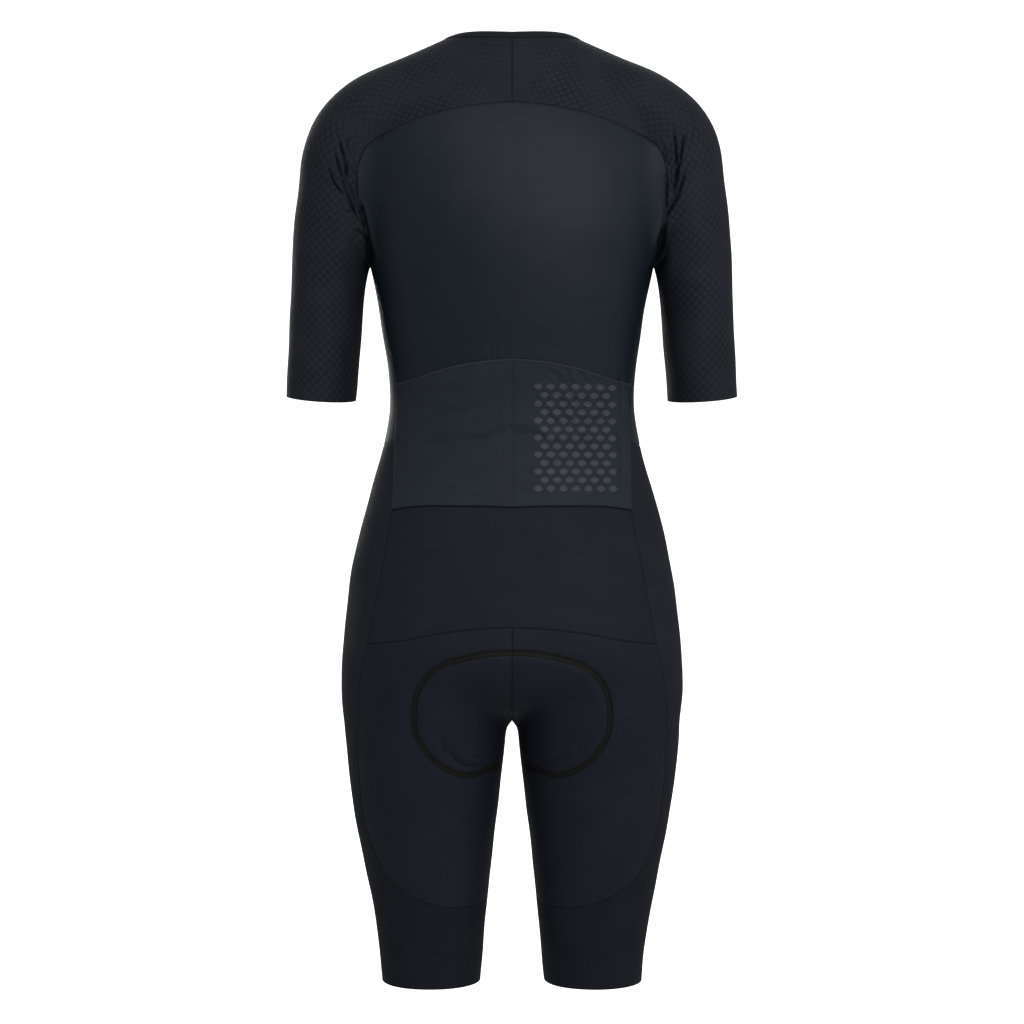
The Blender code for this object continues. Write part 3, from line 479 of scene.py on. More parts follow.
def down_from(rows):
    """Points of the figure's underside in its middle plane, straight below rows of y and z."""
    return np.concatenate([shot([(0, z, 0)], y) for y, z in rows])


def joined(*lines):
    """Lines end to end, with each shared end kept once."""
    return np.concatenate([lines[0]] + [line[1:] for line in lines[1:]])


def mapped(chart, anchors, count, rows):
    """A seam of equal steps through rows of the chart, between two points of the figure."""
    middle = chart.round(np.array(rows, float))
    return lined(np.concatenate([anchors[:1], middle, anchors[1:]]), count)


def neck_seams(s, n):
    """The neck's edge, the arch across the back, the raglan seam in front and the yoke's middle seam."""
    z_at = spline(*np.array(NECK, float).T)

    def neck(first, last):
        angle = np.linspace(first, last, NECK_POINTS)
        return around(np.tile((0, NECK_Y), (NECK_POINTS, 1)), angle, z_at(angle))

    arch = shot(YOKE_ARCH)
    neck_back, neck_front = neck(90, RAGLAN_ANGLE), neck(RAGLAN_ANGLE, ZIP_ANGLE)
    neck_front[-1] = shot([(ZIP_GAP, float(z_at(ZIP_ANGLE)), -90)])[0]
    s["arch"] = lined(arch, ARCH_STEPS * n)
    s["raglan"] = lined(np.concatenate([shot(FRONT_RAGLAN), neck_front[:1]])[::-1], ARCH_STEPS * n)
    s["neck_back"] = lined(neck_back, NECK_BACK_STEPS * n)
    s["neck_front"] = lined(neck_front, NECK_FRONT_STEPS * n)
    yoke = np.concatenate([arch[:1], shot([(0, z, 90) for z in YOKE_Z]), neck_back[:1]])
    s["yoke"] = lined(yoke, YOKE_STEPS * n)


def side_seams(s, n):
    """The side seam, the waist seam behind it, and the pocket panel's sides and top."""
    armpit = s["arch"][-1]
    corner = np.array([SIDE_ANGLE, WAIST_SIDE_Z])
    side_low = BODY_MAP.round(corner[None])[0]
    t = np.linspace(0, 1, CHART_POINTS + 2)[1:-1, None]
    rows = BODY_MAP.flat(armpit) * (1 - t) + corner * t
    side = mapped(BODY_MAP, np.stack([armpit, side_low]), (SIDE_TOP_STEPS + SIDE_LOW_STEPS) * n, rows)
    s["side"] = side
    pocket_side, pocket_top = back_of(POCKET_SIDE), back_of(POCKET_TOP)
    corner_angle = BODY_MAP.flat(pocket_side[0])[0]
    rows = [(SIDE_ANGLE + (corner_angle - SIDE_ANGLE) * f, WAIST_SIDE_Z) for f in WAIST_SIDE_SHARES]
    s["waist_side"] = mapped(BODY_MAP, np.stack([side_low, pocket_side[0]]), WAIST_SIDE_STEPS * n, rows)
    s["pocket_side"] = lined(pocket_side, POCKET_SIDE_STEPS * n)
    s["waist_back"] = lined(back_of(WAIST_BACK), WAIST_BACK_STEPS * n)
    level = side[SIDE_TOP_STEPS * n]
    middle = (BODY_MAP.flat(level) + BODY_MAP.flat(pocket_top[0])) / 2
    s["level_side"] = mapped(BODY_MAP, np.stack([level, pocket_top[0]]), WAIST_SIDE_STEPS * n, [middle])
    s["pocket_top"] = lined(pocket_top, (ARCH_STEPS - WAIST_SIDE_STEPS) * n)


def front_seams(s, n):
    """The waist seam in front, and the front panel's edge along the zip."""
    low = shot([(ZIP_GAP, WAIST_FRONT_Z, -90), (0, WAIST_FRONT_Z, -90)])
    share = np.linspace(0, 1, CHART_POINTS + 1)[1:-1]
    angle = SIDE_ANGLE + (WAIST_FRONT_ANGLE - SIDE_ANGLE) * share
    z = WAIST_SIDE_Z + (WAIST_FRONT_Z - WAIST_SIDE_Z) * share**WAIST_DIP
    ends = np.stack([s["side"][-1], low[0]])
    s["waist_front"] = mapped(BODY_MAP, ends, (NECK_FRONT_STEPS + ARCH_STEPS) * n, np.stack([angle, z], 1))
    s["waist_middle"] = lined(low, n)
    top = s["neck_front"][-1]
    rows = [(ZIP_GAP, z, -90) for z in np.linspace(top[2], WAIST_FRONT_Z, CHART_POINTS)]
    s["zip"] = lined(shot(rows), (SIDE_TOP_STEPS + SIDE_LOW_STEPS) * n)


def leg_seams(s, n):
    """The seams of the seat panel, the centre seam all the way under the body, and the inner leg."""
    crotch = shot([(0, CROTCH_Z + ABOVE_CROTCH, 0)], CROTCH_Y)
    s["hip"] = lined(back_of(HIP_SIDE), HIP_STEPS * n)
    s["seat_top"] = lined(back_of(SEAT_TOP), WAIST_BACK_STEPS * n)
    rise = np.concatenate([back_of([(0, z) for z in CENTRE_BACK_Z]), down_from(UNDER_BACK), crotch])
    s["centre_back"] = lined(rise, CROTCH_BACK_STEPS * n)
    front = shot([(0, z, -90) for z in CENTRE_FRONT_Z])
    steps = POCKET_SIDE_STEPS + HIP_STEPS + CROTCH_BACK_STEPS + WAIST_BACK_STEPS
    s["centre_front"] = lined(np.concatenate([front, down_from(UNDER_FRONT), crotch]), steps * n)
    inner = LEG_MAP.round(np.array([(INNER_LEG, z) for z in INSEAM_Z]))
    s["inseam"] = lined(np.concatenate([crotch, inner]), INSEAM_STEPS * n)
    s["band"] = lined(LEG_MAP.round(np.array([(INNER_LEG, z) for z in LOW_INSEAM_Z])), BAND_STEPS * n)
    s["seat_side"] = lined(back_of(SEAT_SIDE), (CROTCH_BACK_STEPS + INSEAM_STEPS) * n)
    s["seat_hem"] = lined(np.concatenate([back_of(SEAT_HEM), inner[-1:]]), WAIST_BACK_STEPS * n)


def seams(detail):
    """Every seam of the wearer's left half, as points of the figure."""
    s = {}
    for draw in (neck_seams, side_seams, front_seams, leg_seams):
        draw(s, detail)
    return s


# ------------------------------------------------------------ from the seams to panels
WALL = 1.2
GAP = 0.3
SLEEVE_EASE = 12  # rounds of evening out
SEAT_EASE = 6
LEG_EASE = 4
SHARP_ANGLE = 50.0
LOOK = "look_"  # before the name of the material slot that a finish belongs to


def coons(first, last, left, right):
    """A grid of map points between four edges: rows from first to last, columns from left to right."""
    u = np.linspace(0, 1, len(first))[None, :, None]
    v = np.linspace(0, 1, len(left))[:, None, None]
    flat = (1 - v) * first[None] + v * last[None] + (1 - u) * left[:, None] + u * right[:, None]
    ends = (1 - v) * ((1 - u) * first[0] + u * first[-1]) + v * ((1 - u) * last[0] + u * last[-1])
    return flat - ends


def laid(chart, row, start, end):
    """A row of points in a map, from one known map point to another, with no jump of a full turn between."""
    flat = chart.flat(row)
    k = chart.angle_column
    flat[:, k] = start[k] + np.concatenate([[0], np.cumsum((np.diff(flat[:, k]) + 180) % 360 - 180)])
    flat[0], flat[-1] = start, end
    return flat


def patch(chart, first, last, left, right, left_cut=-180, right_cut=-180):
    """A grid of points on the figure whose four edges are seams. First and last run from left to right."""
    left_flat, right_flat = chart.flat(left, left_cut), chart.flat(right, right_cut)
    first_flat = laid(chart, first, left_flat[0], right_flat[0])
    last_flat = laid(chart, last, left_flat[-1], right_flat[-1])
    points = chart.round(coons(first_flat, last_flat, left_flat, right_flat))
    points[0], points[-1], points[:, 0], points[:, -1] = first, last, left, right
    return points


def eased(points, detail, rounds):
    """The grid with its inner points evened out between their neighbours, by as much at any detail."""
    coarse = points[::detail, ::detail]
    even = coarse.copy()
    for _ in range(rounds):
        middle = (even[:-2, 1:-1] + even[2:, 1:-1] + even[1:-1, :-2] + even[1:-1, 2:]) / 4
        even[1:-1, 1:-1] = pull(middle.reshape(-1, 3)).reshape(middle.shape)
    shift = even - coarse
    if detail > 1:
        for _ in range(2):  # first down the grid, then across it
            at = np.arange(shift.shape[0]) * detail
            flat = spline(at, shift.reshape(len(at), -1))(np.arange(at[-1] + 1))
            shift = np.swapaxes(flat.reshape(-1, *shift.shape[1:]), 0, 1)
    moved = (points + shift)[1:-1, 1:-1]
    points = points.copy()
    points[1:-1, 1:-1] = settled(moved.reshape(-1, 3)).reshape(moved.shape)
    return points


def mirror(points):
    return points * (-1, 1, 1)


def whole(line):
    """A line that ends on the middle of the body, carried on to its mirror image."""
    return joined(line, mirror(line)[::-1])


def back_panels(s, n):
    """The back panel from side to side, and the panel below it."""
    level = whole(joined(s["level_side"], s["pocket_top"]))
    waist = whole(joined(s["waist_side"], s["pocket_side"], s["waist_back"]))
    top = SIDE_TOP_STEPS * n
    left = s["side"]
    right = mirror(left)
    high = patch(BODY_MAP, whole(s["arch"][::-1]), level, left[: top + 1], right[: top + 1], right_cut=0)
    low = patch(BODY_MAP, level, waist, left[top:], right[top:], right_cut=0)
    back = joined(high, low)
    hip = s["hip"]
    lower = patch(BODY_MAP, whole(s["waist_back"]), whole(s["seat_top"]), hip, mirror(hip))
    return back, lower


def sleeve_panel(s, n):
    """From the neck over the shoulder, closed into a tube below the armpit."""
    armpit, cuff = ARM_MAP.flat(s["arch"][-1:], -90)[0], np.array((CUFF_LENGTH, 180.0))
    t = np.linspace(0, 1, UNDERARM_STEPS * n + 1)[:, None]
    underarm = ARM_MAP.round(armpit * (1 - t) + cuff * t)
    underarm[0] = s["arch"][-1]
    neck = joined(s["yoke"], s["neck_back"])
    ring = ARM_MAP.round(ring_of(len(neck), CUFF_LENGTH)[:, ::-1])
    left, right = joined(s["arch"], underarm), joined(s["raglan"], underarm)
    return eased(patch(ARM_MAP, neck, ring, left, right, -90, -270), n, SLEEVE_EASE), ARCH_STEPS * n


def ring_of(count, level):
    """Map points of a whole turn, from 180 down to -180, at one level."""
    return np.stack([np.linspace(180, -180, count), np.full(count, level)], 1)


def front_panel(s):
    top = joined(s["raglan"][::-1], s["neck_front"])
    return patch(BODY_MAP, top, s["waist_front"], s["side"], s["zip"])


def seat_panel(s, n):
    left = joined(s["centre_back"], s["inseam"])
    seat = patch(LEG_MAP, s["seat_top"][::-1], s["seat_hem"][::-1], left, s["seat_side"], -90, -90)
    return eased(seat, n, SEAT_EASE)


def side_panel(s, n):
    """The leg's side and front, from the waist seam down, closed into a tube below the seat panel."""
    waist = joined(s["waist_side"][::-1], s["waist_front"], s["waist_middle"])
    left = joined(s["pocket_side"], s["hip"], s["seat_side"], s["seat_hem"])
    right = joined(s["centre_front"], s["inseam"])
    knee = ring_of(len(waist), BAND_Z)
    knee[:, 1] -= BAND_DIP * (1 - (knee[:, 0] / 180) ** 2)
    knee, hem = LEG_MAP.round(knee), LEG_MAP.round(ring_of(len(waist), HEM_Z))
    leg = eased(patch(LEG_MAP, waist, knee, left, right, -90, -270), n, LEG_EASE)
    band = patch(LEG_MAP, knee, hem, s["band"], s["band"], -90, -270)
    return joined(leg, band), len(leg) - 1


def edge_moves(points, normal, closes):
    """How far each point of a grid moves so that its open edges stand back from their seams."""
    rows = len(points)
    move = np.zeros_like(points)
    lines = [(points[0], normal[0], move[0], points[1]), (points[-1], normal[-1], move[-1], points[-2])]
    end = rows if closes is None else closes + 1
    for k, beside in ((0, 1), (-1, -2)):
        lines.append((points[:end, k], normal[:end, k], move[:end, k], points[:end, beside]))
    for line, out, part, beside in lines:
        across = np.cross(out, np.gradient(line, axis=0))
        across /= np.linalg.norm(across, axis=1)[:, None]
        inward = np.sign(((beside - line) * across).sum(1))[:, None]
        part += across * inward * GAP / 2
    if closes is not None:
        move[-1, 0] = move[-1, -1] = (move[-1, 0] + move[-1, -1]) / 2
        tip = points[closes + 1, 0] - points[closes, 0]  # where the edges meet, they move on down the tube
        move[closes, 0] = move[closes, -1] = tip * GAP / np.linalg.norm(tip)
    return move


def neckband(s, rises):
    """A strip that carries the panels' slope on past the neck seam, with its ends upright along the zip."""
    line = whole(joined(s["neck_front"][::-1], s["neck_back"][::-1]))
    out = normals(line)
    up = np.cross(out, np.gradient(line, axis=0))
    for k in (0, -1):
        up[k, 0] = 0
    up /= np.linalg.norm(up, axis=1)[:, None]
    up *= np.sign(((np.array((0, NECK_Y, OVER_NECK)) - line) * up).sum(1))[:, None]
    grid = np.stack([line + rise * up for rise in rises])
    return grid, np.stack([out] * len(rises)), up[0]


def zip_strip(s, up, across):
    """The closed chain between the front panels, from the waist seam to the neckband's top."""
    line = np.concatenate([(s["zip"][:1] + NECKBAND_RISE * up), s["zip"]]) * (0, 1, 1)
    line[-1, 2] += GAP / 2
    out = normals(line)
    out[0] = out[1]
    x = np.array(across)[None, :, None] * (ZIP_GAP - GAP / 2)
    grid = line[:, None] + x * np.array((1.0, 0, 0))
    return grid, np.repeat(out[:, None], len(across), axis=1)


# ------------------------------------------------------------ fine grids
# How many steps each panel has for one step of its solid. The seams are drawn once, at the finest.
SEAM_DETAIL = 24
BACK_DETAIL = 8
SLEEVE_DETAIL = 8
FRONT_DETAIL = 6
SIDE_DETAIL = 6
SEAT_DETAIL = 12
POCKET_ROWS = 130
POCKET_COLS = 108  # on each side of the middle
# Where the rows and columns lie that are put in or left out: spans of (end, how many for each of the grid's).
SLEEVE_ROWS = ((60, 0.8), (112, 1.7), (119, 1.7), (160, 0.8))
SLEEVE_COLS = ((24, 2.25), (104, 0.8), (128, 2.25))
SEAT_ROWS = ((120, 1.25),)
SEAT_COLS = ((84, 1.6),)
TAUT_ROUNDS = 500
TAUT_EVEN = 90
TAUT_Z = (-260.0, -215.0)  # below the first the cloth follows the figure
EDGE_PLACES = (0.14, 0.42)  # where the first step in from an edge is divided, for the roll at a seam


def thinned(s, n):
    """The same seams with n steps for one of the solids'."""
    return {name: line[:: SEAM_DETAIL // n] for name, line in s.items()}


def resampled(line, count):
    """A line cut into equal steps."""
    run = run_of(line)
    at = np.linspace(0, run[-1], count + 1)
    return np.stack([np.interp(at, run, line[:, k]) for k in range(3)], axis=1)


def read_rows(grid, at):
    """The rows of a grid at places between its whole ones."""
    low = np.clip(np.floor(at).astype(int), 0, len(grid) - 2)
    share = (at - low).reshape(-1, *[1] * (grid.ndim - 1))
    return grid[low] * (1 - share) + grid[low + 1] * share


def edge_places(count):
    a, b = EDGE_PLACES
    last = count - 1
    return np.concatenate([[0, a, b], np.arange(1, last), [last - b, last - a, last]])


def tightened(grid, closes):
    """The grid with more rows and columns beside its edges, and where it then closes."""
    rows, cols = edge_places(grid.shape[0]), edge_places(grid.shape[1])
    grid = np.swapaxes(read_rows(np.swapaxes(read_rows(grid, rows), 0, 1), cols), 0, 1)
    return grid, None if closes is None else int(np.searchsorted(rows, closes))


def denser(grid, row_at, col_at):
    """The grid read at other rows and columns, along smooth lines through its own."""
    for at in (row_at, col_at):
        flat = spline(np.arange(len(grid)), grid.reshape(len(grid), -1))(at)
        grid = np.swapaxes(flat.reshape(len(at), *grid.shape[1:]), 0, 1)
    return grid


def steps(*spans):
    """Places from 0 on, for spans of (end, how many steps for each whole one)."""
    at, start = [np.zeros(1)], 0
    for end, share in spans:
        at.append(np.linspace(start, end, round((end - start) * share) + 1)[1:])
        start = end
    return np.concatenate(at)


def evened(values, rounds):
    """Values of a grid's points, each blended with its neighbours'."""
    for _ in range(rounds):
        wide = np.pad(values, ((1, 1), (1, 1), (0, 0)), mode="edge")
        values = (wide[:-2, 1:-1] + wide[2:, 1:-1] + wide[1:-1, :-2] + wide[1:-1, 2:]) / 4
    return values


def taut(grid):
    """The grid where it bridges a dip of the figure, as stretched cloth does."""
    out = evened(normals(grid.reshape(-1, 3)).reshape(grid.shape), TAUT_EVEN)[1:-1, 1:-1]
    out /= np.linalg.norm(out, axis=-1)[..., None]
    free = grid[1:-1, 1:-1].copy()
    share = np.interp(free[..., 2], TAUT_Z, (0, 1))[..., None]
    grid = grid.copy()
    for _ in range(TAUT_ROUNDS):
        middle = (grid[:-2, 1:-1] + grid[2:, 1:-1] + grid[1:-1, :-2] + grid[1:-1, 2:]) / 4
        rise = np.maximum(((middle - free) * out).sum(-1), 0)
        grid[1:-1, 1:-1] = free + share * rise[..., None] * out
    return grid


def runs(grid, axis):
    """The distance along each row or column of a grid, at each of its points."""
    step = np.linalg.norm(np.diff(grid, axis=axis), axis=-1)
    start = np.zeros_like(np.take(step, [0], axis=axis))
    return np.concatenate([start, np.cumsum(step, axis=axis)], axis=axis)


# ------------------------------------------------------------ creases, as seen square from the back or front
VIEW = 2300.0  # the eye's distance from the suit's middle plane
EYE_Z = -452.0
# u and v are a point's place on the middle plane as seen from the eye. A crease runs from the first point to
# the second, with its middle set off to its left by "bow". Depth is below zero for a ridge.
CREASES = (
    # side, u0, v0, u1, v1, bow, depth, half width
    # the wearer's left armpit, behind
    (1, 169, -86, 160, -135, -1.5, 2.8, 1.5),
    (1, 161, -128, 141, -178, 1, 2.5, 1.4),
    (1, 175, -95, 147, -173, 2, 2.6, 1.4),
    (1, 181, -115, 162, -148, 1, 2.4, 1.3),
    (1, 165, -143, 150, -166, 1, 1.4, 1.3),
    (1, 160, -84, 159, -122, 0, 1.5, 1.8),
    (1, 153, -92, 148, -158, 3, 1.3, 1.4),
    (1, 163, -158, 146, -173, -1, 1.6, 1.3),
    (1, 154, -178, 141, -191, -1, 1.9, 1.4),
    (1, 150, -146, 137, -216, -2, 3.3, 2.1),
    (1, 158, -186, 144, -206, 2, 0.8, 4),
    # the wearer's right armpit, behind
    (1, -155, -70, -155, -152, -4.4, 2.5, 1.4),
    (1, -170, -79, -160, -131, 1, 2.7, 1.4),
    (1, -171, -117, -147, -173, -1, 2.6, 1.4),
    (1, -148, -116, -150, -168, -1, 1.5, 1.2),
    (1, -144, -90, -151, -118, 0, 0.9, 1.5),
    (1, -178, -112, -166, -138, -1, 0.8, 2),
    (1, -149, -166, -136, -214, -2, 3.5, 1.9),
    (1, -155, -172, -140, -226, 1, 2.4, 4.6),
    # sleeves
    (1, 196, -205, 150, -232, -6, 0.7, 6),
    (1, 206, -262, 158, -270, -5, 0.5, 7),
    (1, -199, -214, -152, -226, 5, 0.6, 6),
    (1, -205, -282, -160, -262, 4, 0.5, 7),
    # above the pockets, and the pocket panel: the long soft crease and the slanting ones beside it
    (1, 22, -292, 20, -304, 0, 0.7, 1.6),
    (1, 15, -292, 16, -304, 0, 0.5, 1.4),
    (1, 6, -294, 4, -304, 0, 0.5, 1.6),
    (1, 62, -248, 108, -236, 5, 0.3, 7),
    (1, -60, -262, -104, -244, -4, 0.3, 7),
    (1, 100, -392, 30, -383, -2, 1.2, 4.8),
    (1, 46, -385, 2, -375, -2, 1.5, 3.8),
    (1, 6, -375, -36, -383, -3, 1.4, 3.6),
    (1, -26, -381, -86, -385, 1, 1.2, 3.4),
    (1, 110, -378, 20, -340, 2, 1.4, 4.6),
    (1, 90, -379, 42, -357, 2, 1.1, 3.6),
    (1, 84, -341, 38, -329, -2, 0.8, 4.9),
    (1, 104, -446, 30, -438, -3, 0.7, 4.1),
    (1, -104, -316, -103, -362, -2, 1.2, 1.8),
    (1, -110, -322, -116, -352, 1, 0.9, 1.6),
    (1, -103, -358, -107, -438, 0, 1.1, 3.2),
    # short slanting puckers in the right pocket
    (1, -36, -314, -49, -329, -1, 0.8, 2),
    (1, -49, -312, -60, -331, -1, 1.1, 1.8),
    (1, -62, -312, -73, -330, -1, 1.2, 1.7),
    (1, -75, -315, -83, -329, 0, 1, 1.6),
    (1, -31, -340, -42, -351, 0, 0.6, 1.5),
    (1, -43, -338, -52, -350, 0, 1, 1.6),
    (1, -55, -337, -64, -351, 0, 1.1, 1.6),
    (1, -67, -338, -76, -350, 0, 1, 1.5),
    (1, -80, -341, -88, -351, 0, 0.6, 1.5),
    (1, -34, -358, -47, -370, -1, 0.9, 1.8),
    (1, -49, -357, -63, -370, -1, 1.2, 1.8),
    (1, -62, -358, -77, -371, -1, 1.2, 1.9),
    (1, -76, -358, -88, -370, -1, 1.1, 1.7),
    (1, -66, -376, -78, -387, 0, 0.8, 1.5),
    (1, -78, -377, -89, -387, 0, 0.9, 1.4),
    (1, -33, -400, -45, -409, 0, 0.8, 1.6),
    (1, -46, -399, -58, -408, 0, 0.8, 1.5),
    (1, -61, -400, -71, -407, 0, 0.5, 1.5),
    (1, -34, -421, -48, -428, 0, 0.6, 1.6),
    (1, -52, -421, -64, -427, 0, 0.5, 1.5),
    # the seat: round the pad's middle, beside the crotch, and on the legs
    (1, 70, -664, 56, -691, 3, 1.6, 4.2),
    (1, 62, -688, 26, -699, 3, 1.9, 3),
    (1, 46, -690, 12, -691, -1.5, 1.1, 2.2),
    (1, -22, -692, -64, -683, 4, 1.4, 4.2),
    (1, -60, -688, -72, -668, 2, 1.1, 4.2),
    (1, 5, -634, 2, -652, 0, 0.7, 1.6),
    (1, -8, -640, -16, -654, 0, 0.8, 1.8),
    (1, 24, -660, 12, -682, 2, 0.5, 3.5),
    (1, -30, -652, -14, -686, -3, 0.7, 6),
    (1, 124, -700, 84, -722, 4, 0.3, 7),
    (1, -128, -712, -88, -728, -4, 0.3, 7),
    (1, 118, -846, 84, -872, 3, 0.3, 4.5),
    # the armpits in front
    (-1, 166, -92, 139, -208, 0, 1.9, 2.6),
    (-1, 176, -112, 146, -178, 4, 1.5, 2),
    (-1, 158, -104, 147, -166, 3, 1.1, 2),
    (-1, 148, -138, 137, -208, -3, 2.2, 2.8),
    (-1, 128, -214, 143, -188, 3, 0.7, 4),
    (-1, -170, -86, -139, -212, 0, 2, 2.4),
    (-1, -172, -126, -144, -184, -4, 1.4, 1.9),
    (-1, -157, -98, -149, -170, -3, 1.2, 2.1),
    (-1, -149, -144, -136, -210, 3, 2.2, 2.8),
    (-1, -125, -222, -143, -192, -4, 0.7, 4),
    # the chest, the waist and the tops of the legs in front
    (-1, 78, -256, 116, -226, 5, 0.6, 6),
    (-1, -74, -262, -117, -233, -6, 0.6, 6),
    (-1, 12, -352, 74, -366, 5, 0.8, 4.4),
    (-1, -10, -374, -66, -362, -5, 0.7, 4.4),
    (-1, 30, -398, 92, -390, -4, 0.7, 4),
    (-1, 14, -598, 60, -570, 4, 1, 4.4),
    (-1, -16, -604, -66, -572, -5, 1, 4.4),
    (-1, 22, -640, 84, -604, 6, 0.8, 5),
    (-1, -20, -646, -80, -614, -5, 0.8, 5),
    (-1, 110, -738, 66, -752, 4, 0.3, 7),
    (-1, -112, -726, -70, -744, -4, 0.3, 7),
)
RIDGES = ((0.32, 2.0), (0.24, -2.2))  # height, and place across in half widths, of the swell beside a trough
WANDER = 0.35  # how far a crease strays from its bow, in half widths
WANDER_WAVES = 9.0
NARROWEST = 0.75  # a crease's width, in half widths, where it is narrowest, and how much wider it gets
WIDENS = 0.5
WIDTH_WAVES = (2.3, 1.7)  # along a crease, and from one to the next
CREASE_ENDS = 4.5  # a crease comes in over one part in so many of its length
CREASE_LEAST = 0.02
FACING_SOFT = 3.0  # how sharply the creases of one view fade where the cloth turns away from it
FACING_LEAST = 0.12
# The seat pad's outline on one side of the middle, in the same two views.
PAD_BACK = ((0, -589), (21, -589.5), (43, -593.5), (62, -598.5), (75.5, -605), (87, -617.5), (93.5, -632.5),
            (95.5, -648), (93, -668), (86.5, -681), (74, -695), (59, -704), (45.5, -707.5), (30, -704),
            (12.5, -696.5), (0, -693))
PAD_FRONT = ((0, -566), (24, -570), (38, -582), (44, -602), (45, -628), (40, -655), (30, -676),
             (12.5, -696.5), (0, -702))
PAD_Z = (-760, -500)  # nothing of the pad lies beyond these heights
OUTLINE_POINTS = 56
PAD_LIFT = 2.4
PAD_SLOPE = 12.0  # how far inside its outline the pad reaches its full lift
PAD_FADE = (1.5, -0.1)  # times how squarely the cloth faces back or front, and added
BAND_HALF = 2.8
BAND_SINK = 1.0
FAR = 99.0  # a distance, in millimetres, at which nothing shows
POCKET_FALL = 0.9  # how far the back panel is pressed in under the pockets
POCKET_FOLD = 7.0  # over what distance
SEAM_SINK = 0.48
SEAM_ROLL = 1.1
# Slow waves over the whole cloth: height, two rates across and up, and where each starts.
DRIFT = ((0.40, 0.031, 0.019, 0.4), (0.28, -0.045, 0.038, 2.1), (0.22, 0.078, -0.052, 4.0))
DRIFT_DEEP = 0.05  # their rate from front to back


def seen(points, side):
    """Where points lie on the middle plane, seen from the eye behind (side 1) or before the suit (-1)."""
    near = VIEW / (VIEW - side * points[..., 1])
    return points[..., 0] * near, EYE_Z + (points[..., 2] - EYE_Z) * near


def facing(normal, side):
    """How fully the creases of one view show at each point."""
    return np.clip(side * normal[..., 1] * FACING_SOFT + FACING_LEAST, 0, 1)


def crease_relief(points, normal):
    """The height that the creases give each point, above zero outwards."""
    total = np.zeros(points.shape[:-1])
    for side in (1, -1):
        u, v = seen(points, side)
        show = facing(normal, side)
        for k, (of, u0, v0, u1, v1, bow, depth, half) in enumerate(CREASES):
            if of != side:
                continue
            length = math.hypot(u1 - u0, v1 - v0)
            au, av = (u1 - u0) / length, (v1 - v0) / length
            t = ((u - u0) * au + (v - v0) * av) / length
            across = (v - v0) * au - (u - u0) * av
            inside = np.clip(t, 0, 1)
            strays = WANDER * half * np.sin(WANDER_WAVES * t + k)
            across = across - bow * 4 * inside * (1 - inside) - strays
            widens = WIDENS * np.sin(WIDTH_WAVES[0] * t + WIDTH_WAVES[1] * k) ** 2
            q = across / (half * (NARROWEST + widens))
            ends = np.clip(np.minimum(t, 1 - t) * CREASE_ENDS + CREASE_LEAST, 0, 1)
            ends = ends * ends * (3 - 2 * ends)
            shape = -np.exp(-q * q)
            for high, place in RIDGES:
                shape = shape + high * np.exp(-((q - place) ** 2))
            total += depth * show * ends * shape
    return total


def outline_curve(outline):
    """A smooth curve through the points of an outline on one side of the middle."""
    line = np.array(outline, float)
    run = run_of(line)
    return spline(run, line)(np.linspace(0, run[-1], OUTLINE_POINTS))


def outline_off(u, v, outline):
    """How far points are inside a closed outline that is given on one side of the middle."""
    line = outline_curve(outline)
    line = np.concatenate([line, (line * (-1, 1))[-2:0:-1]])
    p = np.stack([u, v], axis=-1)
    best = np.full(u.shape, np.inf)
    inside = np.zeros(u.shape, bool)
    for a, b in zip(line, np.roll(line, -1, axis=0)):
        edge = b - a
        t = np.clip(((p - a) @ edge) / (edge @ edge), 0, 1)
        best = np.minimum(best, np.linalg.norm(p - a - t[..., None] * edge, axis=-1))
        crosses = (a[1] > v) != (b[1] > v)
        rise = b[1] - a[1]
        if rise:
            inside ^= crosses & (u < a[0] + (v - a[1]) * edge[0] / rise)
    return np.where(inside, best, -best)


def pad_off(points, normal):
    """How far points are inside the seat pad's outline."""
    off = np.full(points.shape[:-1], -FAR)
    near = (points[..., 2] > PAD_Z[0]) & (points[..., 2] < PAD_Z[1])
    for side, outline in ((1, PAD_BACK), (-1, PAD_FRONT)):
        part = near & (side * normal[..., 1] > 0)
        off[part] = outline_off(*seen(points[part], side), outline)
    return off


def drift(points):
    """Slow unevenness of the whole cloth."""
    total = 0
    x, y, z = np.moveaxis(points, -1, 0)
    for high, a, b, shift in DRIFT:
        total = total + high * np.sin(a * x + b * z + shift) * np.cos(b * x - a * z + DRIFT_DEEP * y - shift)
    return total


def relief(points, normal, folds=None):
    """The height of the cloth on the wearer over the figure, apart from its seams."""
    off = pad_off(points, normal)
    rise = np.clip(off / PAD_SLOPE, 0, 1)
    times, added = PAD_FADE
    level = np.clip(np.abs(normal[..., 1]) * times + added, 0, 1)  # it dies out towards the inner legs
    pad = PAD_LIFT * rise * (2 - rise) - BAND_SINK * np.exp(-((off / BAND_HALF) ** 4))
    folds = crease_relief(points, normal) if folds is None else folds
    return folds + drift(points) + level * pad


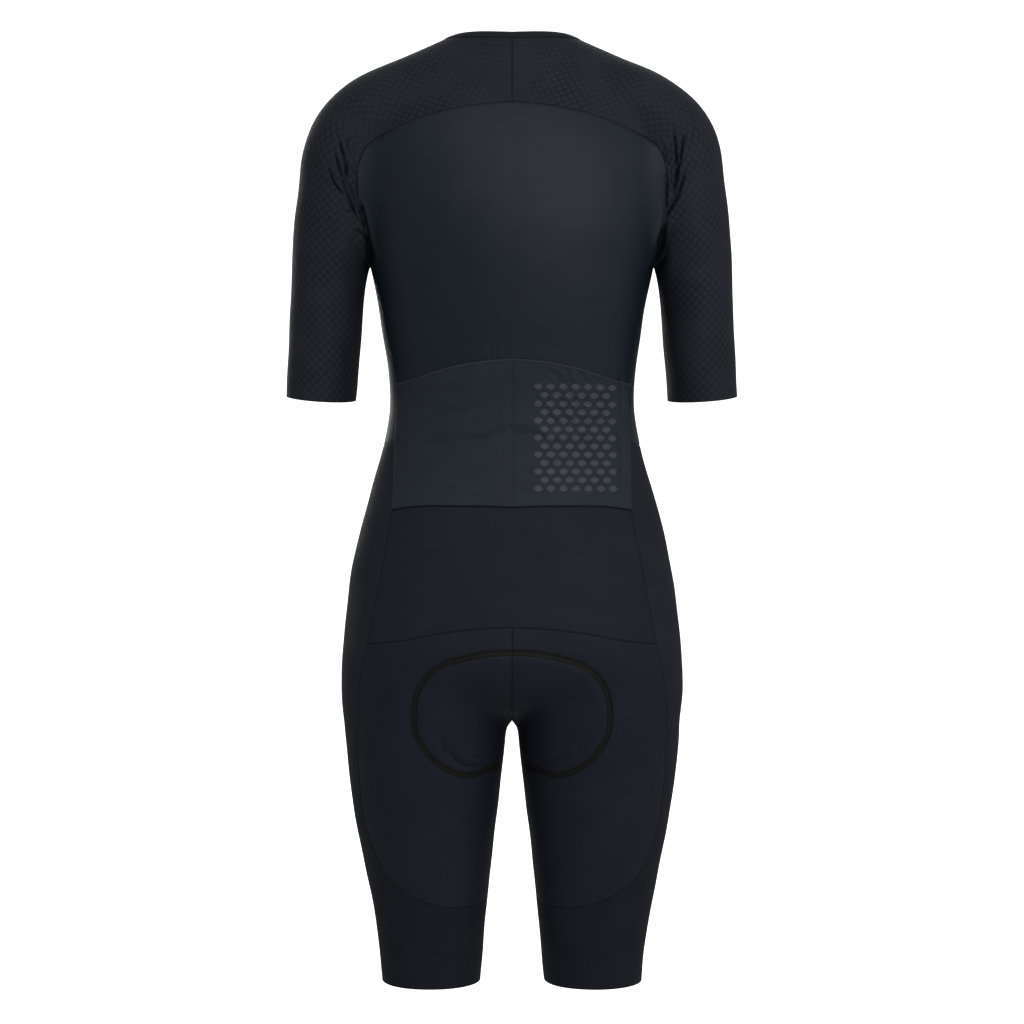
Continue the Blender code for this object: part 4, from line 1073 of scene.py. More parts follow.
def shell(name, outer, inner, finish, closes=None, cloth=None, marks=None, round_up=False):
    """A closed sheet between two grids of points. Cloth is each point's place on the flat cloth, and marks
    are named values of each point."""
    rows, cols = outer.shape[:2]
    bm = bmesh.new()
    bmesh.ops.create_grid(bm, x_segments=cols - 1, y_segments=rows - 1, size=1)
    index = bm.verts.layers.int.new("index")
    layers = [(bm.verts.layers.float_vector.new(k), v.reshape(-1, 3)) for k, v in (marks or {}).items()]
    flat, back = outer.reshape(-1, 3) * MM, inner.reshape(-1, 3) * MM
    for v in bm.verts:
        row, col = round((v.co.y + 1) / 2 * (rows - 1)), round((v.co.x + 1) / 2 * (cols - 1))
        v[index] = k = row * cols + col
        v.co = flat[k]
        for layer, values in layers:
            v[layer] = values[k]
    if cloth is not None:
        places = cloth.reshape(-1, 2)
        uv = bm.loops.layers.uv.new("cloth")
        for face in bm.faces:
            for loop in face.loops:
                loop[uv].uv = places[loop.vert[index]]
    at = {v[index]: v for v in bm.verts}
    pairs = {}
    if closes is not None:
        pairs = {at[r * cols + cols - 1]: at[r * cols] for r in range(closes, rows)}
    if round_up:
        pairs = {at[(rows - 1) * cols + c]: at[c] for c in range(cols)}
    if pairs:
        bmesh.ops.weld_verts(bm, targetmap=pairs)
    if round_up:
        bmesh.ops.holes_fill(bm, edges=[e for e in bm.edges if e.is_boundary], sides=0)
    else:
        made = bmesh.ops.extrude_face_region(bm, geom=bm.faces[:], use_keep_orig=True)
        for v in made["geom"]:
            if isinstance(v, bmesh.types.BMVert):
                v.co = back[v[index]]
    bmesh.ops.recalc_face_normals(bm, faces=bm.faces[:])
    return object_of(name, bm, finish)


def object_of(name, bm, finish):
    mesh = bpy.data.meshes.new(name)
    bm.to_mesh(mesh)
    bm.free()
    mesh.shade_smooth()
    mesh.set_sharp_from_angle(angle=SHARP_ANGLE * TURN)
    mesh.materials.append(finish)
    ob = bpy.data.objects.new(name, mesh)
    bpy.context.scene.collection.objects.link(ob)
    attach(ob, "suit")
    return ob


def edge_distances(grid, hems):
    """How far each point is from the panel's nearest seam, and how far along it. Hems are no seams."""
    across, down = runs(grid, 1), runs(grid, 0)
    ways = {"left": (across, down), "right": (across[:, -1:] - across, down),
            "first": (down, across), "last": (down[-1:] - down, across)}
    ways = [ways[k] for k in ways if k not in hems]
    off = np.stack([w[0] for w in ways])
    along = np.stack([w[1] for w in ways])
    nearest = off.argmin(0)[None]
    return np.take_along_axis(off, nearest, 0)[0], np.take_along_axis(along, nearest, 0)[0]


def panel(name, node, grid, finish, closes=None, hems=(), lift=0.0, extra=None, chart=None):
    """A panel of cloth on the figure, with its creases, its sunk seams and its stitch marks' places. A chart
    gives the distance down the cloth, where its rows don't lie level."""
    grid, closes = tightened(grid, closes)
    normal = normals(grid.reshape(-1, 3)).reshape(grid.shape)
    off, along = edge_distances(grid, hems)
    across, down = runs(grid, 1), runs(grid, 0)
    middle = across[:, across.shape[1] // 2][:, None]
    if chart:
        left = grid * (np.sign(grid[..., :1].mean()), 1, 1)
        down = chart.flat(left.reshape(-1, 3))[:, 0].reshape(down.shape)
    cloth = np.stack([across - middle, down], axis=-1)
    folds = crease_relief(grid, normal)
    height = relief(grid, normal, folds) - SEAM_SINK * np.exp(-((off / SEAM_ROLL) ** 2)) + lift
    if extra:
        height = height + extra(grid, normal)
    move = edge_moves(grid, normal, closes)
    outer = grid + move + height[..., None] * normal
    inner = outer - 2 * move - WALL * normal  # the inner edges meet their neighbours', as sewn cloth does
    pad = pad_off(grid, normal)
    none = np.zeros_like(off)
    # crease_shade carries each point's crease depth, which the finish turns into painted shade
    marks = {"seam": np.stack([off, along, pad], axis=-1), "crease_shade": np.stack([-folds, none, none], axis=-1)}
    ob = shell(name, outer, inner, finish, closes, cloth, marks)
    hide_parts(node)
    return ob


# ------------------------------------------------------------ stitching
STITCH = 2.3
STITCH_GAP = 0.9
THREAD = 0.44
THREAD_LIFT = 0.1  # how far the threads' middle lies over the cloth
PAD_STEPS = 80
PAD_ROWS = (-1.8, 1.8)  # the two rows of stitches, each way off the pad's outline
POCKET_ROWS_AT = (-1.3, 1.3)  # the two rows down the pockets' middle, and from where to where
POCKET_ROWS_Z = (-306.0, -446.0)
POCKET_STEPS = 40
SEAM_OFF = 3.0  # from a seam to the stitches beside it, and less on the centre seam
CENTRE_OFF = 2.4
TRIM_DETAIL = 8


def behind(rows):
    """Points of the figure behind places on the middle plane, seen from the eye at the back."""
    start = np.array([(u, 0, v) for u, v in rows], float)
    eye = np.array((0, VIEW, EYE_Z)) - start
    return cast(start, eye / np.linalg.norm(eye, axis=1)[:, None])


def stitches(name, lines, finish, lift=THREAD_LIFT, extra=None):
    """Threads end to end along lines of the figure, half sunk in the cloth."""
    bm = bmesh.new()
    for line in lines:
        count = max(int(run_of(line)[-1] / (STITCH + STITCH_GAP)), 1)
        at = resampled(line, 2 * count)
        out = normals(at)
        height = relief(at, out) + lift
        if extra:
            height = height + extra(at, out)
        at = at + height[:, None] * out
        for k in range(1, 2 * count, 2):
            along = Vector(at[k + 1] - at[k - 1]).normalized()
            up = Vector(out[k])
            side = up.cross(along).normalized()
            turn = Matrix((along * STITCH / 2, side * THREAD / 2, up * THREAD / 2)).transposed().to_4x4()
            place = Matrix.Scale(MM, 4) @ Matrix.Translation(at[k]) @ turn
            bmesh.ops.create_icosphere(bm, subdivisions=1, radius=1, matrix=place)
    return object_of(name, bm, finish)


def beside(line, distance):
    """A line of the figure set off to its left on the surface."""
    out = normals(line)
    along = np.gradient(line, axis=0)
    left = np.cross(out, along)
    left /= np.linalg.norm(left, axis=1)[:, None]
    return pull(line + distance * left)


# ------------------------------------------------------------ the suit
ROLL_ROWS = 10  # the rows of steps up the neck binding
ROLL_PUFF = 0.55  # how far its outer face swells, and how much the wall grows with that, as a share of it
ROLL_INSIDE = 1.6
ROLL_EDGE = 0.35  # how deep its edge at the seam is sunk
ROLL_ROUND = 0.6  # less is squarer
ROLL_REACH = 1.04  # how far along its swell it has come at its top edge
BINDING_HIGH = 2.3  # the pockets' binding
BINDING_THICK = 2.0
BINDING_OVER = 0.5  # how far it stands over the pockets' edge
BINDING_ROUND = 0.7  # less is squarer
BINDING_TURNS = 12
BINDING_STEPS = 120
POCKET_LIFT = 1.5  # the pocket panel's outer face over the back panel's
POCKET_GAPE = 1.0  # how much further its top stands off between the stitched places
POCKET_PLACES = (-114.0, 0.0, 114.0)  # where the top edge is held down
POCKET_HELD = 55.0  # how far from such a place it stands off in full
GAPE_DOWN = 26.0  # how far down the gape dies out
MIDDLE_SINK = 0.30  # the groove along the middle stitching
MIDDLE_HALF = 1.7
UNDER_TOP = 4.0  # the back panel is pressed in from this far below the pockets' top
UNDER_SIDE = 110.0  # and as far out as this
POCKET_SIDE_POINTS = 16
# Short tucks that the pockets' middle stitching makes: height, place across, half height, half width, depth.
PUCKERS = (
    (-321.0, 1.5, 1.5, 6.0, 0.30),
    (-328.5, -0.5, 1.9, 5.0, 0.55),
    (-333.0, 1.0, 1.3, 4.0, 0.35),
    (-372.0, 0.5, 1.8, 10.0, 0.60),
    (-383.5, -1.0, 1.4, 9.0, 0.35),
    (-408.0, 1.0, 1.5, 6.0, 0.25),
    (-416.0, -1.5, 1.3, 7.5, 0.45),
    (-422.0, 0.5, 1.1, 9.0, 0.40),
    (-427.5, 1.5, 1.2, 8.0, 0.45),
    (-433.0, -1.0, 1.1, 9.5, 0.40),
)


def pocket_top_at(x):
    """The height of the pockets' top edge at a distance from the middle."""
    return np.interp(np.abs(x), *np.array(POCKET_TOP[::-1], float).T)


def pocket_extra(points, normal):
    """The pocket panel's own shape: its top stands off between the places where it is held, and its middle
    stitching pulls it in, with puckers across."""
    x, z = points[..., 0], points[..., 2]
    down = np.clip(pocket_top_at(x) - z, 0, None)
    held = np.clip(1 - np.min([np.abs(x - p) for p in POCKET_PLACES], axis=0) / POCKET_HELD, 0, 1)
    gape = POCKET_GAPE * (1 - held**2) * np.exp(-((down / GAPE_DOWN) ** 2))
    middle = -MIDDLE_SINK * np.exp(-((x / MIDDLE_HALF) ** 2))
    pucker = sum(-high * np.exp(-(((z - at) / tall) ** 2) - (((x - aside) / wide) ** 2))
                 for at, aside, tall, wide, high in PUCKERS)
    return gape + middle + pucker


def under_pocket(points, normal):
    """The back panel lies a little deeper under the pockets, so that nothing touches."""
    x, z = np.abs(points[..., 0]), points[..., 2]
    inside = np.minimum(pocket_top_at(x) - UNDER_TOP - z, UNDER_SIDE - x) / POCKET_FOLD
    share = np.clip(inside, 0, 1) * (normal[..., 1] > 0)
    return -POCKET_FALL * share * share * (3 - 2 * share)


def pocket_grid(s):
    """The pocket panel's own grid: its sides run down from the ends of its top edge."""
    top, low = resampled(s["pocket_top"], POCKET_COLS), resampled(s["waist_back"], POCKET_COLS)
    corner = np.concatenate([s["pocket_top"][:1], s["pocket_side"]])
    side = lined(resampled(corner, POCKET_SIDE_POINTS), POCKET_ROWS)
    side[-1] = low[0]
    return patch(BODY_MAP, whole(top), whole(low), side, mirror(side))


def cloth_panels(s, finish):
    """Every panel of the suit, on both sides."""
    back, lower = back_panels(thinned(s, BACK_DETAIL), BACK_DETAIL)
    panel("back_cloth", "back_panel", taut(back), finish["smooth_knit"], extra=under_pocket)
    panel("lower_back_cloth", "lower_back", lower, finish["dark_knit"])
    panel("pocket_cloth", "pocket_panel", pocket_grid(s), finish["pocket_knit"], hems=("first",),
          lift=POCKET_LIFT, extra=pocket_extra)
    sleeve, sleeve_closes = sleeve_panel(thinned(s, SLEEVE_DETAIL), SLEEVE_DETAIL)
    rows, cols = steps(*SLEEVE_ROWS), steps(*SLEEVE_COLS)
    first = read_rows(sleeve[0], cols)  # straight from point to point, for its corner between yoke and neck
    sleeve, sleeve_closes = denser(sleeve, rows, cols), int(np.searchsorted(rows, sleeve_closes))
    sleeve[0] = first
    front = taut(front_panel(thinned(s, FRONT_DETAIL)))
    seat = seat_panel(thinned(s, SEAT_DETAIL), SEAT_DETAIL)
    seat = denser(seat, steps(*SEAT_ROWS), steps(*SEAT_COLS))
    side, side_closes = side_panel(thinned(s, SIDE_DETAIL), SIDE_DETAIL)
    for hand, turn in (("left", lambda p: p), ("right", mirror)):
        panel("sleeve_cloth_" + hand, "sleeve_" + hand, turn(sleeve), finish["dimpled_knit"], sleeve_closes,
              hems=("last",), chart=ARM_MAP)
        panel("front_cloth_" + hand, "front_" + hand, turn(front), finish["smooth_knit"], hems=("right",))
        panel("seat_cloth_" + hand, "seat_" + hand, turn(seat), finish["dark_knit"])
        panel("side_cloth_" + hand, "side_" + hand, turn(side), finish["side_knit"], side_closes,
              hems=("last",))


def plain_marks(grid):
    """The flat places of a trim's points, and marks that say that it has neither seam nor pad."""
    along, down = runs(grid, 1), runs(grid, 0)
    far = np.full_like(along, FAR)
    return np.stack([along, down], axis=-1), {"seam": np.stack([far, along, -far], axis=-1)}


def neck_trim(s, finish):
    """The neck binding: a soft roll that stands on the neck's edge."""
    t = np.linspace(0, 1, ROLL_ROWS + 1)
    grid, out, up = neckband(thinned(s, TRIM_DETAIL), t * NECKBAND_RISE)
    swell = np.sin(np.pi * np.clip(t * ROLL_REACH, 0, 1)) ** ROLL_ROUND
    puff = (ROLL_PUFF * swell - ROLL_EDGE * (t == 0))[:, None, None]
    move = edge_moves(grid, out, None)
    outer = grid + move + puff * out
    inner = outer - 2 * move - (NECKBAND_WALL + ROLL_INSIDE * puff) * out
    cloth = np.stack([runs(grid, 1), runs(grid, 0)], axis=-1)
    off = np.minimum(runs(grid, 0), FAR)
    marks = {"seam": np.stack([off, runs(grid, 1), np.full_like(off, -FAR)], axis=-1)}
    ob = shell("neck_binding_roll", outer, inner, finish["neck_binding"], None, cloth, marks)
    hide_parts("neckband")
    return up


def pocket_binding(s, finish):
    """The rolled binding on the pockets' top edge."""
    line = resampled(whole(s["pocket_top"]), BINDING_STEPS)
    out = normals(line)
    height = relief(line, out) + pocket_extra(line, out) + POCKET_LIFT - WALL / 2
    up = np.cross(np.gradient(line, axis=0), out)
    up /= np.linalg.norm(up, axis=1)[:, None]
    up *= np.sign(up[:, 2])[:, None]
    middle = line + height[:, None] * out - up * (BINDING_HIGH / 2 - BINDING_OVER)
    rings = []
    for angle in np.linspace(0, 2 * np.pi, BINDING_TURNS + 1):
        high = np.sign(math.cos(angle)) * abs(math.cos(angle)) ** BINDING_ROUND
        rings.append(middle + BINDING_HIGH / 2 * high * up + BINDING_THICK / 2 * math.sin(angle) * out)
    grid = np.stack(rings)
    cloth, marks = plain_marks(grid)
    ob = shell("pocket_top_binding", grid, grid, finish["pocket_binding"], None, cloth, marks, round_up=True)
    return ob


TAPE_COLS = 8
TAPE_DIP = 0.5  # how far the tape lies below the panels' outer face, and how much that changes across it
TAPE_WAVE = 0.15
TAPE_WALL = 1.2
TOOTH_PITCH = 1.25
TOOTH = (2.7, 0.95, 1.0)  # across the zip, along it and high
TOOTH_ASIDE = 0.75  # every other tooth lies this far to the left, and the others to the right
TOOTH_DIP = 0.2
TOOTH_BEVEL = 0.18
TEETH_FIRST = 4  # the teeth start this many places below the zip's top, and stop short of this many
TEETH_LAST = 3  # above its bottom


def zip_pieces(s, up, finish):
    """The closed zip: a tape a little below the panels, and teeth that meet from both sides."""
    across = np.linspace(-1, 1, TAPE_COLS + 1)
    grid, out = zip_strip(thinned(s, TRIM_DETAIL), up, across)
    dip = TAPE_DIP + TAPE_WAVE * np.cos(across * np.pi * 2)
    outer = grid - dip[None, :, None] * out
    cloth, marks = plain_marks(grid)
    tape = shell("zip_tape", outer, grid - TAPE_WALL * out, finish["zip_tape"], None, cloth, marks)
    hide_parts("zip_chain")
    middle = TAPE_COLS // 2
    line = grid[:, middle] - TOOTH_DIP * out[:, middle]
    count = int(run_of(line)[-1] / TOOTH_PITCH)
    at = resampled(line, count)
    direction = np.gradient(at, axis=0)
    bm = bmesh.new()
    for k in range(TEETH_FIRST, count - TEETH_LAST):
        along = Vector(direction[k]).normalized()
        side = Vector((1, 0, 0))
        top = side.cross(along).normalized()
        if top.y > 0:
            top = -top
        turn = Matrix((side * TOOTH[0], along * TOOTH[1], top * TOOTH[2])).transposed().to_4x4()
        aside = Matrix.Translation((TOOTH_ASIDE * (1 if k % 2 else -1), 0, 0))
        place = Matrix.Scale(MM, 4) @ aside @ Matrix.Translation(at[k]) @ turn
        bmesh.ops.create_cube(bm, size=1, matrix=place)
    bmesh.ops.bevel(bm, geom=bm.edges[:], offset=TOOTH_BEVEL * MM, segments=1, profile=0.5, affect="EDGES",
                    material=-1)
    teeth = object_of("zip_teeth", bm, finish["zip_teeth"])
    return [tape, teeth]


def seam_stitching(s, finish):
    """The threads that show: round the pad, down the pockets' middle and along the main seams behind."""
    pad = resampled(behind(outline_curve(PAD_BACK)[2:-2]), PAD_STEPS)
    rows = []
    for away in PAD_ROWS:
        line = beside(pad, away)
        rows += [line, mirror(line)]
    made = [stitches("pad_stitching", rows, finish["thread"])]
    lines = [pull(resampled(behind([(u, v) for v in POCKET_ROWS_Z]), POCKET_STEPS)) for u in POCKET_ROWS_AT]
    lift = POCKET_LIFT + THREAD_LIFT
    made.append(stitches("pocket_stitching", lines, finish["thread"], lift, pocket_extra))
    fine = thinned(s, TRIM_DETAIL)
    hip, yoke = beside(fine["hip"], SEAM_OFF), beside(fine["yoke"], SEAM_OFF)
    rise = beside(fine["centre_back"][: (CROTCH_BACK_STEPS - 1) * TRIM_DETAIL], CENTRE_OFF)
    rows = [hip, mirror(hip), yoke, rise, mirror(rise)]
    made.append(stitches("seam_stitching", rows, finish["thread"]))
    return made


# ------------------------------------------------------------ finishes
def plug(tree, socket, value):
    if isinstance(value, bpy.types.NodeSocket):
        tree.links.new(value, socket)
    else:
        socket.default_value = value


def maths(tree, operation, *values):
    node = tree.nodes.new("ShaderNodeMath")
    node.operation = operation
    for socket, value in zip(node.inputs, values):
        plug(tree, socket, value)
    return node.outputs[0]


def clamped(tree, value, low=0.0, high=1.0):
    return maths(tree, "MINIMUM", maths(tree, "MAXIMUM", value, low), high)


def blended(tree, share, first, second):
    node = tree.nodes.new("ShaderNodeMix")
    node.data_type = "RGBA"
    plug(tree, node.inputs["Factor"], share)
    plug(tree, node.inputs["A"], first)
    plug(tree, node.inputs["B"], second)
    return node.outputs["Result"]


def group(name, inputs, outputs):
    """A node group with named sockets; returns its tree, its input sockets and its output node."""
    tree = bpy.data.node_groups.new(name, "ShaderNodeTree")
    for label, kind in inputs.items():
        tree.interface.new_socket(label, in_out="INPUT", socket_type="NodeSocket" + kind)
    for label, kind in outputs.items():
        tree.interface.new_socket(label, in_out="OUTPUT", socket_type="NodeSocket" + kind)
    start, end = tree.nodes.new("NodeGroupInput"), tree.nodes.new("NodeGroupOutput")
    return tree, start.outputs, end.inputs


def placed(tree, made, **values):
    node = tree.nodes.new("ShaderNodeGroup")
    node.node_tree = made
    for label, value in values.items():
        plug(tree, node.inputs[label], value)
    return node.outputs


def split(tree, vector):
    node = tree.nodes.new("ShaderNodeSeparateXYZ")
    plug(tree, node.inputs[0], vector)
    return node.outputs


def attribute(tree, name):
    node = tree.nodes.new("ShaderNodeAttribute")
    node.attribute_name = name
    return node.outputs["Vector"]


def noise(tree, vector, scale, detail=2.0):
    node = tree.nodes.new("ShaderNodeTexNoise")
    plug(tree, node.inputs["Vector"], vector)
    node.inputs["Scale"].default_value = scale
    node.inputs["Detail"].default_value = detail
    return node.outputs["Fac"]


# Sizes in the groups below are in millimetres, as the places on the flat cloth are.
COURSE = 0.8  # the rows of loops lie this far apart, in widths of a column
LOOP_RISE = 0.3  # how much of a column's height its loops make
KNIT_HEIGHT = 0.05
NET_LINE = 3.4  # how thin the net's lines are, and how soft
NET_SOFT = 1.4
NET_UNEVEN = 24.0  # the scale of the places where the net is strong or weak
NET_FADE = (2.0, -0.35)  # its strength there: times a slow noise, and added
NET_LEAST = 0.35
NET_DEPTH = 0.30
SEAM_WIDTH = 1.3  # how far the painted shade along a seam reaches
THREAD_AT = 2.3  # where the thread marks run beside it, their half width, spacing and share of that
THREAD_HALF = 0.28
THREAD_SPACING = 3.0
THREAD_SHARE = 0.68


def knit_loops():
    """The columns of loops of a fine jersey: their height, and a shade that follows it."""
    tree, start, end = group("knit_loops", {"Cloth": "Vector", "Wale": "Float"},
                             {"Height": "Float", "Shade": "Float"})
    x, y, _ = split(tree, start["Cloth"])
    across = maths(tree, "DIVIDE", x, start["Wale"])
    lean = maths(tree, "ABSOLUTE", maths(tree, "SUBTRACT", maths(tree, "FRACT", across), 0.5))
    course = maths(tree, "DIVIDE", y, maths(tree, "MULTIPLY", start["Wale"], COURSE))
    course = maths(tree, "ADD", course, lean)
    wale = maths(tree, "ABSOLUTE", maths(tree, "SINE", maths(tree, "MULTIPLY", across, 2 * math.pi)))
    loop = maths(tree, "SINE", maths(tree, "MULTIPLY", course, 2 * math.pi))
    height = maths(tree, "MULTIPLY", wale, maths(tree, "MULTIPLY_ADD", loop, LOOP_RISE, 1 - LOOP_RISE))
    plug(tree, end["Height"], maths(tree, "MULTIPLY", height, KNIT_HEIGHT))
    plug(tree, end["Shade"], maths(tree, "MULTIPLY_ADD", height, 0.5, 0.6))
    return tree


def dimple_lattice():
    """Small pips between the lines of a slanting net, stronger in some places than in others."""
    tree, start, end = group("dimple_lattice", {"Cloth": "Vector", "Object": "Vector", "Period": "Float"},
                             {"Height": "Float", "Shade": "Float"})
    x, y, _ = split(tree, start["Cloth"])
    net = 0
    for way in ("ADD", "SUBTRACT"):
        at = maths(tree, "FRACT", maths(tree, "DIVIDE", maths(tree, way, x, y), start["Period"]))
        away = maths(tree, "ABSOLUTE", maths(tree, "SUBTRACT", at, 0.5))
        line = maths(tree, "MAXIMUM", maths(tree, "MULTIPLY_ADD", away, -NET_LINE, 1.0), 0.0)
        net = maths(tree, "MAXIMUM", maths(tree, "POWER", line, NET_SOFT), net)
    fade = maths(tree, "MULTIPLY_ADD", noise(tree, start["Object"], NET_UNEVEN, 1.0), *NET_FADE)
    net = maths(tree, "MULTIPLY", net, clamped(tree, fade, NET_LEAST))
    plug(tree, end["Height"], maths(tree, "MULTIPLY", net, -NET_DEPTH))
    plug(tree, end["Shade"], maths(tree, "SUBTRACT", 0.75, net))
    return tree


def seam_edge():
    """How near a point is to its panel's seam, and the thread marks that run beside it."""
    tree, start, end = group("seam_edge", {"Seam": "Vector"}, {"Near": "Float", "Thread": "Float"})
    off, along, _ = split(tree, start["Seam"])
    near = maths(tree, "MAXIMUM", maths(tree, "SUBTRACT", 1.0, maths(tree, "DIVIDE", off, SEAM_WIDTH)), 0.0)
    plug(tree, end["Near"], maths(tree, "MULTIPLY", near, near))
    row = maths(tree, "ABSOLUTE", maths(tree, "SUBTRACT", off, THREAD_AT))
    row = maths(tree, "LESS_THAN", row, THREAD_HALF)
    dash = maths(tree, "FRACT", maths(tree, "DIVIDE", along, THREAD_SPACING))
    dash = maths(tree, "LESS_THAN", dash, THREAD_SHARE)
    plug(tree, end["Thread"], maths(tree, "MULTIPLY", row, dash))
    return tree


GROUPS = {make.__name__: make() for make in (knit_loops, dimple_lattice, seam_edge)}


def shade(colour, factor):
    """A colour made darker or lighter, for a socket."""
    return (*[min(c * factor, 1.0) for c in colour], 1.0)


def base_material(name):
    material = bpy.data.materials.new(LOOK + name)
    material.use_nodes = True
    tree = material.node_tree
    return material, tree, tree.nodes["Principled BSDF"]


NET_PERIOD = 8.4
MOTTLE = 34.0  # the scale of slow unevenness, and of the yarn's flecks
FLECK = 620.0
TONE = (0.66, 1.34)  # the darkest and the lightest tone, as shares of the colour
LEG_SHADE_SLOPE = (-7.5, -4.6)  # how the painted shade deepens the tone down the legs: times the height in metres, and added
LEG_SHADE_TONE = 0.1
CREASE_SHADE_TONE = 0.12  # the painted shade in a crease's bottom and along a seam, and the tone of a seam's thread marks, as shares of the colour
SEAM_SHADE_TONE = 0.22
THREAD_TONE = 1.7
CREASE_SHADE_MOST = 0.85  # how much of each shows at most
SEAM_SHADE_MOST = 0.6
THREAD_MOST = 0.35
THREAD_HIGH = 0.10
PAD_BAND = (0.0090, 0.0095, 0.0065)  # the stitched band on the pad's outline
PAD_BAND_HALF = 3.0  # its half width, and how much of that lies inside its two dark rims
PAD_BAND_INNER = 1.5
PAD_BAND_MOST = 0.85
PAD_RIM_MOST = 0.75
PAD_RIM_TONE = 0.3
MOTIF_GREY = (0.050, 0.056, 0.062, 1.0)
MOTIF_SMOOTHER = 0.12


def cloth_finish(name, colour, rough, specular=0.06, wale=1.1, lattice=0.0, motif=False, leg_shade=0.0,
                 crease_shade_strength=0.6):
    """Knitted cloth: jersey loops, slow mottling, painted shade along the seams with thread marks, and the
    pad's band. Wale is the width of a column of loops, lattice how strong the net of dimples is, leg_shade
    how much the painted shade deepens the tone down the legs, and crease_shade_strength how dark the painted
    shade in a crease's bottom is."""
    material, tree, shader = base_material(name)
    place = tree.nodes.new("ShaderNodeTexCoord").outputs["Object"]
    cloth = tree.nodes.new("ShaderNodeUVMap")
    cloth.uv_map = "cloth"
    cloth = cloth.outputs[0]
    seam = attribute(tree, "seam")
    knit = placed(tree, GROUPS["knit_loops"], Cloth=cloth, Wale=wale)
    edge = placed(tree, GROUPS["seam_edge"], Seam=seam)
    mottle = maths(tree, "MULTIPLY_ADD", noise(tree, place, MOTTLE, 3.0), 0.5, 0.25)
    fleck = noise(tree, place, FLECK, 1.0)
    tone = maths(tree, "ADD", mottle, maths(tree, "MULTIPLY", maths(tree, "SUBTRACT", fleck, 0.5), 0.5))
    tone = maths(tree, "ADD", tone, maths(tree, "MULTIPLY", maths(tree, "SUBTRACT", knit["Shade"], 0.8), 0.3))
    height = knit["Height"]
    if lattice:
        dimple = placed(tree, GROUPS["dimple_lattice"], Cloth=cloth, Object=place, Period=NET_PERIOD)
        step = maths(tree, "SUBTRACT", dimple["Shade"], 0.6)
        tone = maths(tree, "ADD", tone, maths(tree, "MULTIPLY", step, lattice))
        height = maths(tree, "ADD", height, dimple["Height"])
    paint = blended(tree, tone, *[shade(colour, factor) for factor in TONE])
    # painted shade: the tone darkens down the legs, as the light falls off there
    if leg_shade:
        down = clamped(tree, maths(tree, "MULTIPLY_ADD", split(tree, place)[2], *LEG_SHADE_SLOPE))
        paint = blended(tree, maths(tree, "MULTIPLY", down, leg_shade), paint, shade(colour, LEG_SHADE_TONE))
    # painted shade: the bottoms of creases are darkened by their depth
    crease_shade = split(tree, attribute(tree, "crease_shade"))[0]
    crease_shade = clamped(tree, maths(tree, "MULTIPLY_ADD", crease_shade, crease_shade_strength, -crease_shade_strength), 0.0, CREASE_SHADE_MOST)
    paint = blended(tree, crease_shade, paint, shade(colour, CREASE_SHADE_TONE))
    # painted shade: a dark line along each seam, in its groove
    near = maths(tree, "MULTIPLY", edge["Near"], SEAM_SHADE_MOST)
    paint = blended(tree, near, paint, shade(colour, SEAM_SHADE_TONE))
    thread = maths(tree, "MULTIPLY", edge["Thread"], THREAD_MOST)
    paint = blended(tree, thread, paint, shade(colour, THREAD_TONE))
    height = maths(tree, "MULTIPLY_ADD", edge["Thread"], THREAD_HIGH, height)
    away = maths(tree, "ABSOLUTE", split(tree, seam)[2])
    strip = maths(tree, "LESS_THAN", away, PAD_BAND_HALF)
    rim = maths(tree, "MULTIPLY", maths(tree, "GREATER_THAN", away, PAD_BAND_INNER), strip)
    paint = blended(tree, maths(tree, "MULTIPLY", strip, PAD_BAND_MOST), paint, (*PAD_BAND, 1.0))
    paint = blended(tree, maths(tree, "MULTIPLY", rim, PAD_RIM_MOST), paint, shade(PAD_BAND, PAD_RIM_TONE))
    rough_now = maths(tree, "MULTIPLY_ADD", fleck, 0.16, rough - 0.08)
    if motif:
        mask = reflective_motif(tree, place)
        paint = blended(tree, mask, paint, MOTIF_GREY)
        rough_now = maths(tree, "MULTIPLY_ADD", mask, -MOTIF_SMOOTHER, rough_now)
    bump = tree.nodes.new("ShaderNodeBump")
    bump.inputs["Distance"].default_value = MM
    bump.inputs["Strength"].default_value = 0.8
    plug(tree, bump.inputs["Height"], height)
    plug(tree, shader.inputs["Base Color"], paint)
    plug(tree, shader.inputs["Roughness"], rough_now)
    plug(tree, shader.inputs["Normal"], bump.outputs[0])
    shader.inputs["Specular IOR Level"].default_value = specular
    return material


# A field of small rounded lozenges: where its first ones lie, how many there are, their spacing and half
# size, in metres.
MOTIF_FIRST = (-0.0955, -0.4300)
MOTIF_COUNT = (7, 13)
MOTIF_STEP = (0.0118, 0.0080)
LOZENGE = (0.0044, 0.0032)
LOZENGE_ROUND = 1.5  # 1 is a sharp lozenge and 2 an oval
LOZENGE_EDGE = 4.0  # how crisp its edge is


